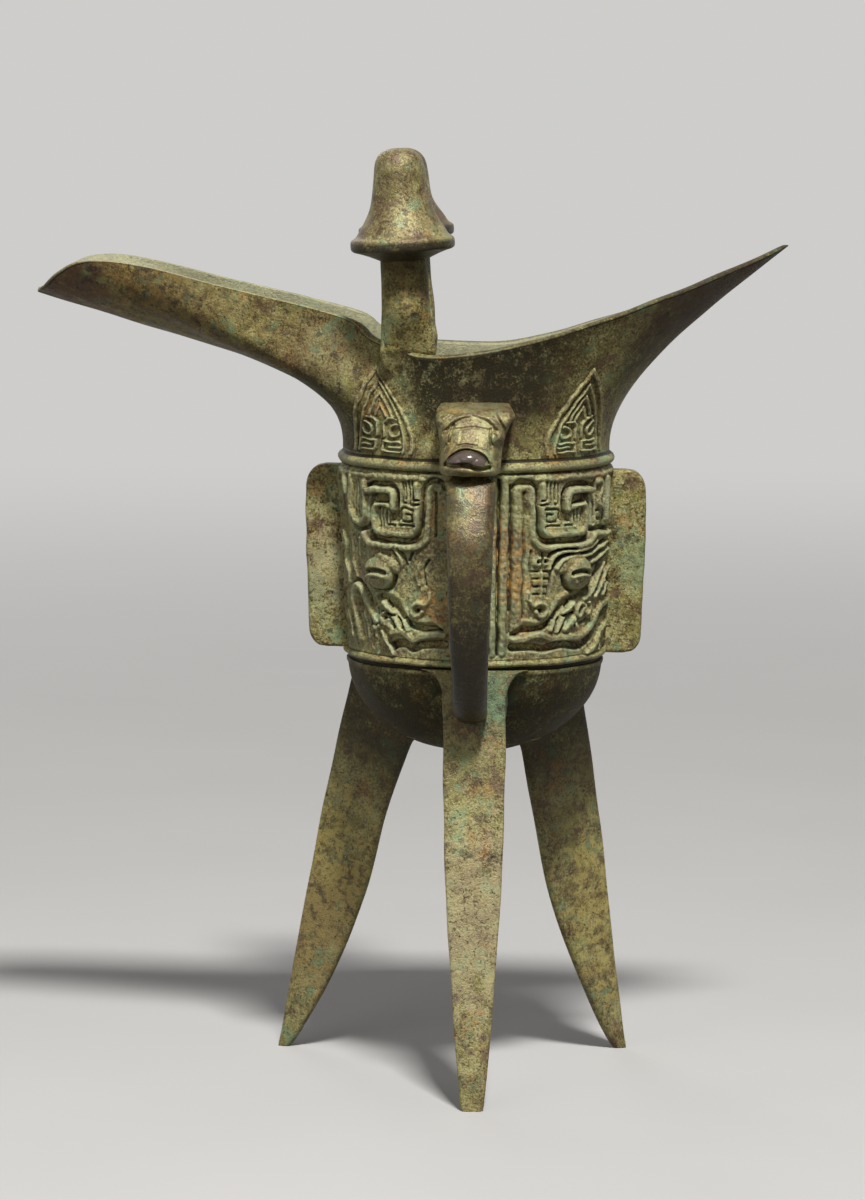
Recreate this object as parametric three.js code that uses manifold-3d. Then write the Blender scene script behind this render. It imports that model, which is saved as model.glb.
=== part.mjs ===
// A bronze libation cup on three blade legs, of the kind that has a long pouring spout, a pointed tail,
// two capped posts on the rim and a loop handle under an animal's head.
// The cup, its spout and its tail are one pour. The legs, handle, posts and flanges are cast onto it over
// tenons, tongues and forks, the caps are cast onto the posts over clay, and small bronze spacers that held
// the mould's core off its shell stay in the bowl's wall.
// Millimetres, +Z up. The spout points along -X, the tail along +X and the handle along -Y.
import * as THREE from "three";
import { mergeVertices } from "three/addons/utils/BufferGeometryUtils.js";
import Module from "manifold-3d";

const wasm = await Module();
wasm.setup();

// Joints between the castings
const SEAT_GAP = 0.3;

// Heights, stacked up from the ground
const BOWL_CLEARANCE = 75.6;
const BOWL_HEIGHT = 21.9;
const BAND_HEIGHT = 46.6;
const NECK_HEIGHT = 25.2;
const RIDGE_HEIGHT = 2.6;

// The cup's radii and walls
const BOWL_RADIUS = 29.3;
const BAND_RADIUS = 31.0;
const NECK_RADIUS = 30.8;
const RIDGE_RISE = 1.1;
const WALL = 2.4;
const TIP_WALL = 1.3;

// The mouth, its spout and its tail
const MOUTH_HALF_WIDTH = 30.0;
const MOUTH_MIDDLE = -1.0;
const MOUTH_RISE = 0.6;
const TAIL_REACH = 71.7;
const TAIL_RISE = 23.0;
const BACK_RIM_DROP = 2.6;
const SPOUT_REACH = 101.6;
const SPOUT_HALF_WIDTH = 14.8;
const SPOUT_ROOT = 24.5;
const LIP_RAKE = 11.6;
const LIP_CORNER_RISE = 20.0;
const LIP_FOOT_RISE = 12.0;
const SPOUT_ROOT_RISE = 3.9;

// Legs: the outer face is LEG_WIDTH wide, and a keel runs inwards behind it. The tail-side leg sits further
// round the back than its foot does, and its splay is the smallest.
const LEG_WIDTH = 14.2;
const LEG_DEPTH = 13.5;
const LEG_PROUD = 1.2;
const LEG_TOP_DROP = 0.8;
const FOOT_DEPTH = 2.4;
const LEG_EDGE = 0.9;
const LEGS = [
  { name: "leg_handle_side", bearing: -88.5, footRadius: 46.5, footBearing: -88.5, footWidth: 5.0 },
  { name: "leg_tail_side", bearing: 51, footRadius: 45.0, footBearing: 39, footWidth: 3.6 },
  { name: "leg_spout_side", bearing: 150, footRadius: 53.0, footBearing: 151, footWidth: 3.4 },
];
const TENON_LENGTH = 14.0;
const TENON_WIDTH = 4.4;
const TENON_THICKNESS = 3.4;
const TENON_DROP = 2.0;

// Handle: a strap that leaves the head's mouth and comes back to the handle-side leg
const STRAP_WIDTH_TOP = 11.0;
const STRAP_WIDTH_LOW = 8.4;
const STRAP_THICKNESS = 4.6;
const STRAP_STANDOFF = 19.5;
const STRAP_TOP_BELOW_RIDGE = 2.4;
const STRAP_LOW_BELOW_BAND = 7.5;
const STRAP_SEAT_DEPTH = 1.5;
const HEAD_WIDTH = 15.8;
const HEAD_HEIGHT = 15.2;
const HEAD_STANDOFF = 14.0;
const HEAD_OVER_RIDGE = 13.2;
const MOUTH_SOCKET_DEPTH = 4.0;
const TONGUE_SHARE = 0.6;
const HEAD_SKIN = 2.2;
const HEAD_BACK_OVERLAP = 4.0;
const CLAY_STANDOFF_SHARE = 0.41;

// Posts and their caps. Both lean towards the spout, and the back one is a little taller.
const POSTS = [
  { label: "front", side: -1, x: -14.9, height: 20.3 },
  { label: "back", side: 1, x: -16.2, height: 21.2 },
];
const POST_LEAN = 3.0;
const POST_RADIUS_FOOT = 6.4;
const POST_RADIUS_LOW = 5.8;
const POST_RADIUS_TOP = 5.2;
const FORK_DEPTH = 1.3;
const SPIGOT_RADIUS = 2.8;
const SPIGOT_LENGTH = 7.0;
const CAP_RADIUS = 11.7;
const CAP_HEIGHT = 24.2;
const CAP_SKIRT = 4.2;
const CAP_CROWN_RADIUS = 5.5;
const CORE_HEIGHT = 8.0;

// Flanges under the spout, under the tail and opposite the handle
const FLANGE_PROUD = 8.4;
const FLANGE_THICKNESS = 4.6;
const FLANGE_TOP_MARGIN = 1.8;
const FLANGE_LOW_MARGIN = 2.6;
const FLANGE_CORNER = 3.6;
const TONGUE_DEPTH = 1.0;
const TONGUE_THICKNESS = 2.2;
const TONGUE_MARGIN = 3.8;
const FLANGES = [
  { name: "flange_under_spout", bearing: 180, drop: 0 },
  { name: "flange_under_tail", bearing: 0, drop: 0.8 },
  { name: "flange_opposite_handle", bearing: 90, drop: 0.4 },
];

// Spacers left in the bowl's wall between the legs
const SPACER_WIDTH = 4.4;
const SPACER_RADIUS_SHARE = 0.5;
const SPACERS = [
  { name: "wall_spacer_front_tail", bearing: -30 },
  { name: "wall_spacer_back", bearing: 90 },
  { name: "wall_spacer_front_spout", bearing: 210 },
];

// How finely the round shapes are cut
const ROUND_STEPS = 64;
const FLARE_STEPS = 10;
const INNER_FLARE_STEPS = 8;
const SMALL_ROUND_STEPS = 28;

const bowlTop = BOWL_CLEARANCE + BOWL_HEIGHT;
const bandTop = bowlTop + BAND_HEIGHT;
const rimLow = bandTop + NECK_HEIGHT;
const neckStart = bandTop + 2.4;

const radians = THREE.MathUtils.degToRad;
const lerp = THREE.MathUtils.lerp;
const clamp = THREE.MathUtils.clamp;
const smooth = THREE.MathUtils.smoothstep;

// A closed geometry as a solid, and back.
function toSolid(geometry) {
  const plain = geometry.index ? geometry.toNonIndexed() : geometry.clone();
  plain.deleteAttribute("normal");
  plain.deleteAttribute("uv");
  const merged = mergeVertices(plain, 1e-4);
  const solid = new wasm.Manifold(
    new wasm.Mesh({
      numProp: 3,
      vertProperties: new Float32Array(merged.attributes.position.array),
      triVerts: new Uint32Array(merged.index.array),
    }),
  );
  if (solid.volume() < 0) throw new Error("a shape is inside out");
  return solid;
}

function toGeometry(solid) {
  const mesh = solid.getMesh();
  const geometry = new THREE.BufferGeometry();
  geometry.setAttribute("position", new THREE.BufferAttribute(new Float32Array(mesh.vertProperties), 3));
  geometry.setIndex(new THREE.BufferAttribute(new Uint32Array(mesh.triVerts), 1));
  geometry.computeVertexNormals();
  return geometry;
}

// A closed skin over rings of points. Each ring runs anticlockwise seen against the direction of travel,
// and the first and last rings are closed by a fan about their centre.
function skin(rings) {
  const count = rings[0].length;
  const position = [];
  const index = [];
  for (const ring of rings) for (const p of ring) position.push(p.x, p.y, p.z);
  for (let r = 0; r + 1 < rings.length; r++) {
    for (let i = 0; i < count; i++) {
      const j = (i + 1) % count;
      const a = r * count + i;
      const b = r * count + j;
      index.push(a, b, b + count, a, b + count, a + count);
    }
  }
  for (const [r, first, second] of [
    [0, 1, 0],
    [rings.length - 1, 0, 1],
  ]) {
    const centre = rings[r].reduce((sum, p) => sum.add(p), new THREE.Vector3()).divideScalar(count);
    const c = position.length / 3;
    position.push(centre.x, centre.y, centre.z);
    for (let i = 0; i < count; i++) {
      const pair = [r * count + i, r * count + ((i + 1) % count)];
      index.push(c, pair[first], pair[second]);
    }
  }
  const geometry = new THREE.BufferGeometry();
  geometry.setAttribute("position", new THREE.Float32BufferAttribute(position, 3));
  geometry.setIndex(index);
  return geometry;
}

// A solid turned about +Z from points of radius and height that run up its outside.
function turned(points, steps = SMALL_ROUND_STEPS) {
  const lathe = new THREE.LatheGeometry(
    points.map(([radius, height]) => new THREE.Vector2(radius, height)),
    steps,
  );
  return toSolid(lathe.rotateX(Math.PI / 2));
}

function box(width, depth, height) {
  return toSolid(new THREE.BoxGeometry(width, depth, height));
}

// The value at t of stations that each hold t first, through which a smooth curve runs.
function through(stations, column, t) {
  let i = 0;
  while (i < stations.length - 2 && t > stations[i + 1][0]) i++;
  const [p, a, b, q] = [i - 1, i, i + 1, i + 2].map((k) => stations[clamp(k, 0, stations.length - 1)]);
  const span = b[0] - a[0];
  const s = clamp((t - a[0]) / span, 0, 1);
  const slopeA = (b[column] - p[column]) / Math.max(b[0] - p[0], 1e-9);
  const slopeB = (q[column] - a[column]) / Math.max(q[0] - a[0], 1e-9);
  const [s2, s3] = [s * s, s * s * s];
  return (
    (2 * s3 - 3 * s2 + 1) * a[column] +
    (s3 - 2 * s2 + s) * span * slopeA +
    (3 * s2 - 2 * s3) * b[column] +
    (s3 - s2) * span * slopeB
  );
}

// Half of the rim, from the tail's tip at 0 degrees round to the spout's lip at 180 degrees.
// Columns: turn, x, half width, rise over the rim's lowest point.
function rimStations() {
  const stations = [];
  for (const turn of [0, 8, 18, 30, 45, 60, 75, 90]) {
    const out = 1 - (turn / 90) ** 1.12;
    const width = MOUTH_HALF_WIDTH * Math.sin(radians(turn)) ** 0.92;
    const rise = lerp(MOUTH_RISE, TAIL_RISE, out ** 1.3);
    stations.push([turn, lerp(MOUTH_MIDDLE, TAIL_REACH, out), width, rise]);
  }
  // From the mouth's middle to the spout's root: turn, shares of the way along and in, share of the rise.
  for (const [turn, along, inwards, up] of [
    [100, 0.37, 0.13, 0],
    [108, 0.68, 0.36, 0.25],
    [115, 1, 0.66, 1],
  ]) {
    const width = lerp(MOUTH_HALF_WIDTH, SPOUT_HALF_WIDTH, inwards);
    stations.push([turn, lerp(MOUTH_MIDDLE, -SPOUT_ROOT, along), width, SPOUT_ROOT_RISE * up]);
  }
  // Along the spout's edge to its corner: turn, share of the way, extra half width, share of the rise.
  const corner = -SPOUT_REACH + LIP_RAKE;
  for (const [turn, along, wider, up] of [
    [120, 0.06, 3, 0.21],
    [127, 0.2, 1.8, 0.37],
    [138, 0.51, 0.6, 0.66],
    [149, 0.84, 0, 0.97],
    [156, 1, -0.1 * SPOUT_HALF_WIDTH, 1],
  ]) {
    const rise = lerp(SPOUT_ROOT_RISE, LIP_CORNER_RISE, up);
    stations.push([turn, lerp(-SPOUT_ROOT, corner, along), SPOUT_HALF_WIDTH + wider, rise]);
  }
  // Round the lip: turn, share of its rake, share of the half width, share of the way down.
  for (const [turn, along, width, down] of [
    [163, 0.5, 0.71, 0.33],
    [171, 0.84, 0.41, 0.75],
    [180, 1, 0, 1],
  ]) {
    const rise = lerp(LIP_CORNER_RISE, LIP_FOOT_RISE, down);
    stations.push([turn, corner - LIP_RAKE * along, SPOUT_HALF_WIDTH * width, rise]);
  }
  return stations;
}

// How the wall leaves the neck and meets the rim.
// Columns: turn, climb above the neck before it turns out, run into the rim, slope there, heading there.
const FLARE = [
  [0, 16, 24, 38, 0],
  [20, 13.5, 19, 45, 12],
  [45, 10, 12, 56, 38],
  [90, 7, 6, 78, 90],
  [108, 8, 7, 77, 122],
  [126, 11, 14, 60, 170],
  [140, 13, 30, 44, 180],
  [156, 15, 44, 31, 180],
  [168, 16, 52, 20, 180],
  [180, 16.5, 55, 17, 180],
];
const RIM = rimStations();

// The rim's outer edge at a turn of 0 to 360 degrees, from the tail round by the handle's side.
function rimPoint(turn) {
  const half = turn <= 180 ? turn : 360 - turn;
  const back = turn > 180;
  const x = through(RIM, 1, half);
  const width = Math.max(through(RIM, 2, half), 0);
  const drop = back ? BACK_RIM_DROP * smooth(x, -14, 12) * clamp(width / 8, 0, 1) : 0;
  return new THREE.Vector3(x, back ? width : -width, rimLow + through(RIM, 3, half) - drop);
}

function rimRun(turn) {
  const half = turn <= 180 ? turn : 360 - turn;
  const slope = radians(through(FLARE, 3, half));
  const heading = radians(through(FLARE, 4, half));
  const side = turn > 180 ? 1 : -1;
  return new THREE.Vector3(
    Math.cos(slope) * Math.cos(heading),
    side * Math.cos(slope) * Math.sin(heading),
    Math.sin(slope),
  );
}

// A point of the flared upper wall: along is 0 at the neck and 1 at the rim. inset is 0 outside, 1 inside.
function flarePoint(turn, along, inset) {
  const half = turn <= 180 ? turn : 360 - turn;
  const radius = NECK_RADIUS - inset * WALL;
  const round = radians(turn);
  const start = new THREE.Vector3(radius * Math.cos(round), -radius * Math.sin(round), neckStart);
  const run = rimRun(turn);
  const end = rimPoint(turn);
  if (inset) {
    const step = 0.5;
    const tangent = rimPoint(Math.min(turn + step, 360)).sub(rimPoint(Math.max(turn - step, 0)));
    const outward = tangent.cross(run).negate().normalize();
    const tip = Math.min(half, 180 - half);
    const wall = lerp(TIP_WALL, WALL, smooth(tip, 0, 30)) * inset;
    const width = Math.abs(end.y);
    const inner = Math.max(width - wall * Math.abs(outward.y), width * 0.5);
    end.x -= wall * outward.x;
    end.z -= Math.min(wall * outward.z, 0);
    end.y = Math.sign(end.y) * inner;
  }
  const climb = through(FLARE, 1, half) + inset * 1.2;
  const curve = new THREE.CubicBezierCurve3(
    start,
    start.clone().add(new THREE.Vector3(0, 0, climb)),
    end.clone().sub(run.multiplyScalar(through(FLARE, 2, half))),
    end,
  );
  return curve.getPoint(along);
}

// The radius of the plain wall, without its ridges, at a height up to the neck.
function wallRadius(height) {
  if (height < bowlTop) {
    const down = clamp((bowlTop - height) / BOWL_HEIGHT, 0, 1);
    return BOWL_RADIUS * Math.sqrt(Math.max(1 - down * down, 0));
  }
  if (height < bandTop) return lerp(BOWL_RADIUS, BAND_RADIUS, smooth(height, bowlTop, bandTop));
  return lerp(BAND_RADIUS, NECK_RADIUS, clamp((height - bandTop) / (neckStart - bandTop), 0, 1));
}

// Radius and height of the outside, from the bowl's underside up to the neck, with the two ridges.
function outsideProfile(grow = 0) {
  const points = [];
  for (let k = 1; k <= 9; k++) {
    const a = (k / 9) * (Math.PI / 2);
    points.push([(BOWL_RADIUS + grow) * Math.sin(a), bowlTop - (BOWL_HEIGHT + grow) * Math.cos(a)]);
  }
  const ridge = (low) => {
    const base = wallRadius(low + RIDGE_HEIGHT / 2);
    points.push([base + RIDGE_RISE * 0.8 + grow, low + RIDGE_HEIGHT * 0.2]);
    points.push([base + RIDGE_RISE + grow, low + RIDGE_HEIGHT * 0.5]);
    points.push([base + RIDGE_RISE * 0.8 + grow, low + RIDGE_HEIGHT * 0.8]);
    points.push([wallRadius(low + RIDGE_HEIGHT) + grow, low + RIDGE_HEIGHT]);
  };
  ridge(bowlTop);
  for (const share of [0.35, 0.65]) {
    const height = lerp(bowlTop, bandTop, share);
    points.push([wallRadius(height) + grow, height]);
  }
  points.push([wallRadius(bandTop - RIDGE_HEIGHT) + grow, bandTop - RIDGE_HEIGHT]);
  ridge(bandTop - RIDGE_HEIGHT);
  return points;
}

const ringAt = (radius, height) =>
  Array.from({ length: ROUND_STEPS }, (_, i) => {
    const a = (i / ROUND_STEPS) * Math.PI * 2;
    return new THREE.Vector3(radius * Math.cos(a), radius * Math.sin(a), height);
  });
// The flare's turn runs clockwise from above, and the rings run anticlockwise.
const flareRing = (along, inset) =>
  Array.from({ length: ROUND_STEPS }, (_, i) => {
    const turn = ((ROUND_STEPS - i) % ROUND_STEPS) * (360 / ROUND_STEPS);
    return flarePoint(turn, along, inset);
  });

function cupRings() {
  const rings = outsideProfile().map(([radius, height]) => ringAt(radius, height));
  for (let k = 0; k <= FLARE_STEPS; k++) rings.push(flareRing(k / FLARE_STEPS, 0));
  for (let k = INNER_FLARE_STEPS; k >= 0; k--) rings.push(flareRing(k / INNER_FLARE_STEPS, 1));
  for (const share of [0.75, 0.4, 0]) {
    const height = lerp(bowlTop, bandTop, share);
    rings.push(ringAt(wallRadius(height) - WALL, height));
  }
  for (let k = 6; k >= 1; k--) {
    const a = (k / 7) * (Math.PI / 2);
    rings.push(ringAt((BOWL_RADIUS - WALL) * Math.sin(a), bowlTop - (BOWL_HEIGHT - WALL) * Math.cos(a)));
  }
  return rings;
}

// A ring pushed out from the axis by a distance, level by level.
const pushed = (ring, distance) =>
  ring.map((p) => {
    const k = 1 + distance / (Math.hypot(p.x, p.y) || 1);
    return new THREE.Vector3(p.x * k, p.y * k, p.z);
  });

// The filled cup up to three quarters of its flare, grown by the seat's gap, which cuts what seats on it.
function cupBlock(grow) {
  const rings = outsideProfile(grow).map(([radius, height]) => ringAt(radius, height));
  for (let k = 0; k <= FLARE_STEPS * 0.75; k++) rings.push(pushed(flareRing(k / FLARE_STEPS, 0), grow));
  return toSolid(skin(rings));
}

// The upper wall from the neck to the rim, grown on both faces, as a block that cuts a straddling fork.
function rimBlock(grow) {
  const rings = [];
  for (let k = 3; k <= FLARE_STEPS; k++) rings.push(pushed(flareRing(k / FLARE_STEPS, 0), grow));
  for (let k = FLARE_STEPS; k >= 3; k--) rings.push(pushed(flareRing(k / FLARE_STEPS, 1), -grow));
  for (const k of [FLARE_STEPS - 3, FLARE_STEPS - 2]) for (const p of rings[k]) p.z += grow;
  return rings;
}

function closedTube(rings) {
  const count = rings[0].length;
  const position = [];
  const index = [];
  for (const ring of rings) for (const p of ring) position.push(p.x, p.y, p.z);
  for (let r = 0; r < rings.length; r++) {
    const next = (r + 1) % rings.length;
    for (let i = 0; i < count; i++) {
      const j = (i + 1) % count;
      const [a, b, c, d] = [r * count + i, r * count + j, next * count + j, next * count + i];
      index.push(a, b, c, a, c, d);
    }
  }
  const geometry = new THREE.BufferGeometry();
  geometry.setAttribute("position", new THREE.Float32BufferAttribute(position, 3));
  geometry.setIndex(index);
  return geometry;
}

// A leg in its own frame: it runs up to the band's lower ridge, its outer face square to +X and its keel
// towards the axis.
function legRings(leg) {
  const top = bowlTop - LEG_TOP_DROP;
  const swing = radians(leg.footBearing - leg.bearing);
  const rings = [];
  for (const share of [0, 0.1, 0.25, 0.42, 0.6, 0.76, 0.9, 1]) {
    const outer = lerp(leg.footRadius * Math.cos(swing), BOWL_RADIUS + LEG_PROUD, share ** 1.06);
    const aside = lerp(leg.footRadius * Math.sin(swing), 0, share);
    const width = lerp(leg.footWidth, LEG_WIDTH, Math.sin((Math.min(share / 0.85, 1) * Math.PI) / 2) ** 0.9);
    const depth = lerp(FOOT_DEPTH, LEG_DEPTH, Math.sin((Math.min(share / 0.45, 1) * Math.PI) / 2) ** 0.85);
    const half = width / 2;
    const edge = Math.min(LEG_EDGE, half / 3);
    rings.push(
      [
        [outer, -half + edge],
        [outer, half - edge],
        [outer - edge, half],
        [outer - edge * 1.6, half],
        [outer - depth, edge * 0.8],
        [outer - depth, -edge * 0.8],
        [outer - edge * 1.6, -half],
        [outer - edge, -half],
      ].map(([x, y]) => new THREE.Vector3(x, y + aside, top * share)),
    );
  }
  return rings;
}

const legSolid = (leg) => toSolid(skin(legRings(leg))).rotate([0, 0, leg.bearing]);

// A stub that hangs from the bowl's wall, which the leg is cast over.
function tenon(leg, grow) {
  return box(TENON_THICKNESS + 2 * grow, TENON_WIDTH + 2 * grow, TENON_LENGTH + 2 * grow)
    .translate([BOWL_RADIUS - TENON_THICKNESS / 2 - 0.2, 0, bowlTop - TENON_DROP - TENON_LENGTH / 2])
    .rotate([0, 0, leg.bearing]);
}

// The strap's centre line in the plane of the handle, from the head's mouth to the leg, as radius and height.
const strapTop = bandTop - STRAP_TOP_BELOW_RIDGE;
const strapLow = bowlTop - STRAP_LOW_BELOW_BAND;
const strapLine = new THREE.CatmullRomCurve3(
  [
    [BAND_RADIUS + STRAP_STANDOFF * 0.42, strapTop + MOUTH_SOCKET_DEPTH + 1.6],
    [BAND_RADIUS + STRAP_STANDOFF * 0.6, strapTop],
    [BAND_RADIUS + STRAP_STANDOFF * 0.86, lerp(strapTop, strapLow, 0.28)],
    [BAND_RADIUS + STRAP_STANDOFF * 0.88, lerp(strapTop, strapLow, 0.55)],
    [BAND_RADIUS + STRAP_STANDOFF * 0.66, lerp(strapTop, strapLow, 0.82)],
    [BAND_RADIUS + STRAP_STANDOFF * 0.3, strapLow],
    [BOWL_RADIUS + LEG_PROUD - STRAP_SEAT_DEPTH, strapLow - 1.2],
  ].map(([radius, height]) => new THREE.Vector3(0, -radius, height)),
);

// A rounded flat section, wide along x and thick along the given normal, about a centre.
function strapSection(centre, normal, width, thickness) {
  return Array.from({ length: 12 }, (_, i) => {
    const a = (i / 12) * Math.PI * 2;
    const across = Math.sign(Math.cos(a)) * Math.abs(Math.cos(a)) ** 0.7 * (width / 2);
    const out = Math.sign(Math.sin(a)) * Math.abs(Math.sin(a)) ** 0.8 * (thickness / 2);
    return centre.clone().addScaledVector(normal, out).add(new THREE.Vector3(across, 0, 0));
  });
}

function strapRings(from, widthShare, grow) {
  const rings = [];
  for (let k = 0; k <= 20; k++) {
    const along = lerp(from, 1, k / 20);
    const centre = strapLine.getPointAt(along);
    const run = strapLine.getTangentAt(along);
    const normal = new THREE.Vector3(0, -run.z, run.y).negate();
    const width = lerp(STRAP_WIDTH_TOP, STRAP_WIDTH_LOW, along) * widthShare + 2 * grow;
    rings.push(strapSection(centre, normal, width, STRAP_THICKNESS * widthShare + 2 * grow));
  }
  return rings;
}

// The part of the strap inside the head's mouth is a narrower tongue. Both stop short of what holds them.
const MOUTH_AT = 0.085;
const strapLength = strapLine.getLength();
function strapSolid() {
  const whole = toSolid(skin(strapRings(MOUTH_AT, 1, 0)));
  const tongue = toSolid(skin(strapRings(SEAT_GAP / strapLength, TONGUE_SHARE, 0)));
  return whole.add(tongue);
}

// The animal's head: brow wide, muzzle narrower and lower, standing out over the strap's top.
function headSolid() {
  const foot = bandTop + HEAD_OVER_RIDGE - HEAD_HEIGHT;
  // Share of the head's height, width, how far it stands out at the middle and at the cheeks.
  const slices = [
    [0, 0.72, 0.9, 0.5],
    [0.08, 0.78, 0.98, 0.56],
    [0.22, 0.8, 1, 0.56],
    [0.4, 0.82, 0.86, 0.5],
    [0.58, 0.9, 0.74, 0.42],
    [0.74, 0.98, 0.6, 0.34],
    [0.88, 1, 0.4, 0.26],
    [1, 0.84, 0.22, 0.16],
  ];
  const back = Math.min(BAND_RADIUS, NECK_RADIUS) - HEAD_BACK_OVERLAP;
  const rings = slices.map(([share, wide, middle, cheek]) => {
    const half = (HEAD_WIDTH * wide) / 2;
    const height = foot + HEAD_HEIGHT * share;
    const out = (k) => -(BAND_RADIUS + HEAD_STANDOFF * k);
    return [
      [-half, -back],
      [-half, out(cheek * 0.7)],
      [-half * 0.86, out(cheek)],
      [-half * 0.5, out(lerp(cheek, middle, 0.72))],
      [0, out(middle)],
      [half * 0.5, out(lerp(cheek, middle, 0.72))],
      [half * 0.86, out(cheek)],
      [half, out(cheek * 0.7)],
      [half, -back],
    ].map(([x, y]) => new THREE.Vector3(x, y, height));
  });
  let head = toSolid(skin(rings));
  for (const side of [-1, 1]) {
    const eye = new THREE.SphereGeometry(1.7, 12, 8);
    eye.translate(side * HEAD_WIDTH * 0.3, -(BAND_RADIUS + HEAD_STANDOFF * 0.56), foot + HEAD_HEIGHT * 0.6);
    const horn = new THREE.SphereGeometry(2.3, 12, 8);
    horn.scale(1.1, 1.2, 1);
    horn.translate(side * HEAD_WIDTH * 0.4, -(BAND_RADIUS + HEAD_STANDOFF * 0.34), foot + HEAD_HEIGHT * 0.86);
    head = head.add(toSolid(eye)).add(toSolid(horn));
  }
  const nose = new THREE.SphereGeometry(1, 16, 10);
  nose.scale(HEAD_WIDTH * 0.25, 2.2, 1.9);
  nose.translate(0, -(BAND_RADIUS + HEAD_STANDOFF * 0.94), foot + HEAD_HEIGHT * 0.17);
  return head.add(toSolid(nose));
}

// The clay left in the hollow behind the head's face.
function headClay(grow) {
  const foot = bandTop + HEAD_OVER_RIDGE - HEAD_HEIGHT;
  const width = HEAD_WIDTH * 0.8 - 2 * HEAD_SKIN + 2 * grow;
  const height = HEAD_HEIGHT * 0.42 + 2 * grow;
  const inner = NECK_RADIUS - HEAD_BACK_OVERLAP / 2 - grow;
  const outer = BAND_RADIUS + HEAD_STANDOFF * CLAY_STANDOFF_SHARE + grow;
  const clay = box(width, outer - inner, height);
  return clay.translate([0, -(inner + outer) / 2, foot + HEAD_HEIGHT * 0.62]);
}

// Where a post stands: the middle of the wall's top at its x, on the front or the back of the rim.
function postSeat(post) {
  let [low, high] = [90, 115];
  for (let i = 0; i < 40; i++) {
    const middle = (low + high) / 2;
    if (rimPoint(middle).x > post.x) low = middle;
    else high = middle;
  }
  const rim = rimPoint(post.side < 0 ? low : 360 - low);
  return [rim.x, rim.y - post.side * (WALL / 2), rim.z];
}
const onRim = (solid, post) => solid.rotate([0, -POST_LEAN, 0]).translate(postSeat(post));

function postSolid(post) {
  const top = post.height;
  const shaft = turned([
    [0, -FORK_DEPTH],
    [POST_RADIUS_FOOT * 0.92, -FORK_DEPTH],
    [POST_RADIUS_FOOT, -FORK_DEPTH * 0.4],
    [lerp(POST_RADIUS_LOW, POST_RADIUS_FOOT, 0.35), 1.2],
    [POST_RADIUS_LOW, 3.4],
    [lerp(POST_RADIUS_LOW, POST_RADIUS_TOP, 0.6), top * 0.5],
    [POST_RADIUS_TOP, top],
    [SPIGOT_RADIUS, top],
    [SPIGOT_RADIUS, top + SPIGOT_LENGTH],
    [0, top + SPIGOT_LENGTH],
  ]);
  return onRim(shaft, post).subtract(rimSeat);
}

// The cap's outside: a cone under a rounded skirt, then a bell that rises to a domed crown.
function capSolid(post) {
  const low = post.height + SEAT_GAP;
  const bell = CAP_HEIGHT - CAP_SKIRT;
  const outline = [
    [POST_RADIUS_TOP + 0.3, 0],
    [CAP_RADIUS * 0.72, CAP_SKIRT * 0.42],
    [CAP_RADIUS * 0.95, CAP_SKIRT * 0.7],
    [CAP_RADIUS, CAP_SKIRT],
    [CAP_RADIUS * 0.98, CAP_SKIRT + bell * 0.055],
    [CAP_RADIUS * 0.85, CAP_SKIRT + bell * 0.165],
    [CAP_RADIUS * 0.695, CAP_SKIRT + bell * 0.28],
    [CAP_RADIUS * 0.6, CAP_SKIRT + bell * 0.375],
    [CAP_CROWN_RADIUS * 1.17, CAP_SKIRT + bell * 0.5],
    [CAP_CROWN_RADIUS * 1.03, CAP_SKIRT + bell * 0.64],
    [CAP_CROWN_RADIUS, CAP_SKIRT + bell * 0.82],
    [CAP_CROWN_RADIUS * 0.94, CAP_SKIRT + bell * 0.9],
    [CAP_CROWN_RADIUS * 0.68, CAP_SKIRT + bell * 0.97],
    [0, CAP_HEIGHT],
  ].map(([radius, height]) => [radius, low + height]);
  const socketRadius = SPIGOT_RADIUS + SEAT_GAP;
  const socketTop = low + SPIGOT_LENGTH + CORE_HEIGHT + SEAT_GAP;
  const socket = turned([
    [0, low - 1],
    [socketRadius, low - 1],
    [socketRadius, socketTop],
    [0, socketTop],
  ]);
  return onRim(turned([[0, low], ...outline]).subtract(socket), post);
}

function capClay(post) {
  const low = post.height + SPIGOT_LENGTH + SEAT_GAP;
  const clay = turned([
    [0, low],
    [SPIGOT_RADIUS, low],
    [SPIGOT_RADIUS, low + CORE_HEIGHT - 1.5],
    [SPIGOT_RADIUS * 0.6, low + CORE_HEIGHT],
    [0, low + CORE_HEIGHT],
  ]);
  return onRim(clay, post);
}

// A flange's plate, standing along +X at a bearing of 0, with its tongue in the wall's groove.
function flangeSolid(flange) {
  const low = bowlTop + FLANGE_LOW_MARGIN - flange.drop;
  const high = bandTop - FLANGE_TOP_MARGIN - flange.drop;
  const out = BAND_RADIUS + FLANGE_PROUD;
  const outline = new THREE.Shape();
  outline.moveTo(BOWL_RADIUS - 6, low + 0.4);
  outline.lineTo(out - FLANGE_CORNER * 1.5, low - 0.4);
  outline.quadraticCurveTo(out - 0.9, low, out - 0.8, low + FLANGE_CORNER);
  outline.lineTo(out, high - FLANGE_CORNER * 2);
  outline.quadraticCurveTo(out, high - FLANGE_CORNER * 0.6, out - FLANGE_CORNER, high - 0.8);
  outline.lineTo(BOWL_RADIUS - 6, high + 2);
  const plate = new THREE.ExtrudeGeometry(outline, {
    depth: FLANGE_THICKNESS - 1,
    bevelEnabled: true,
    bevelThickness: 0.5,
    bevelSize: 0.5,
    bevelOffset: -0.5,
    bevelSegments: 2,
    curveSegments: 6,
  });
  plate.rotateX(Math.PI / 2).translate(0, (FLANGE_THICKNESS - 1) / 2, 0);
  return toSolid(plate);
}

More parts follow.
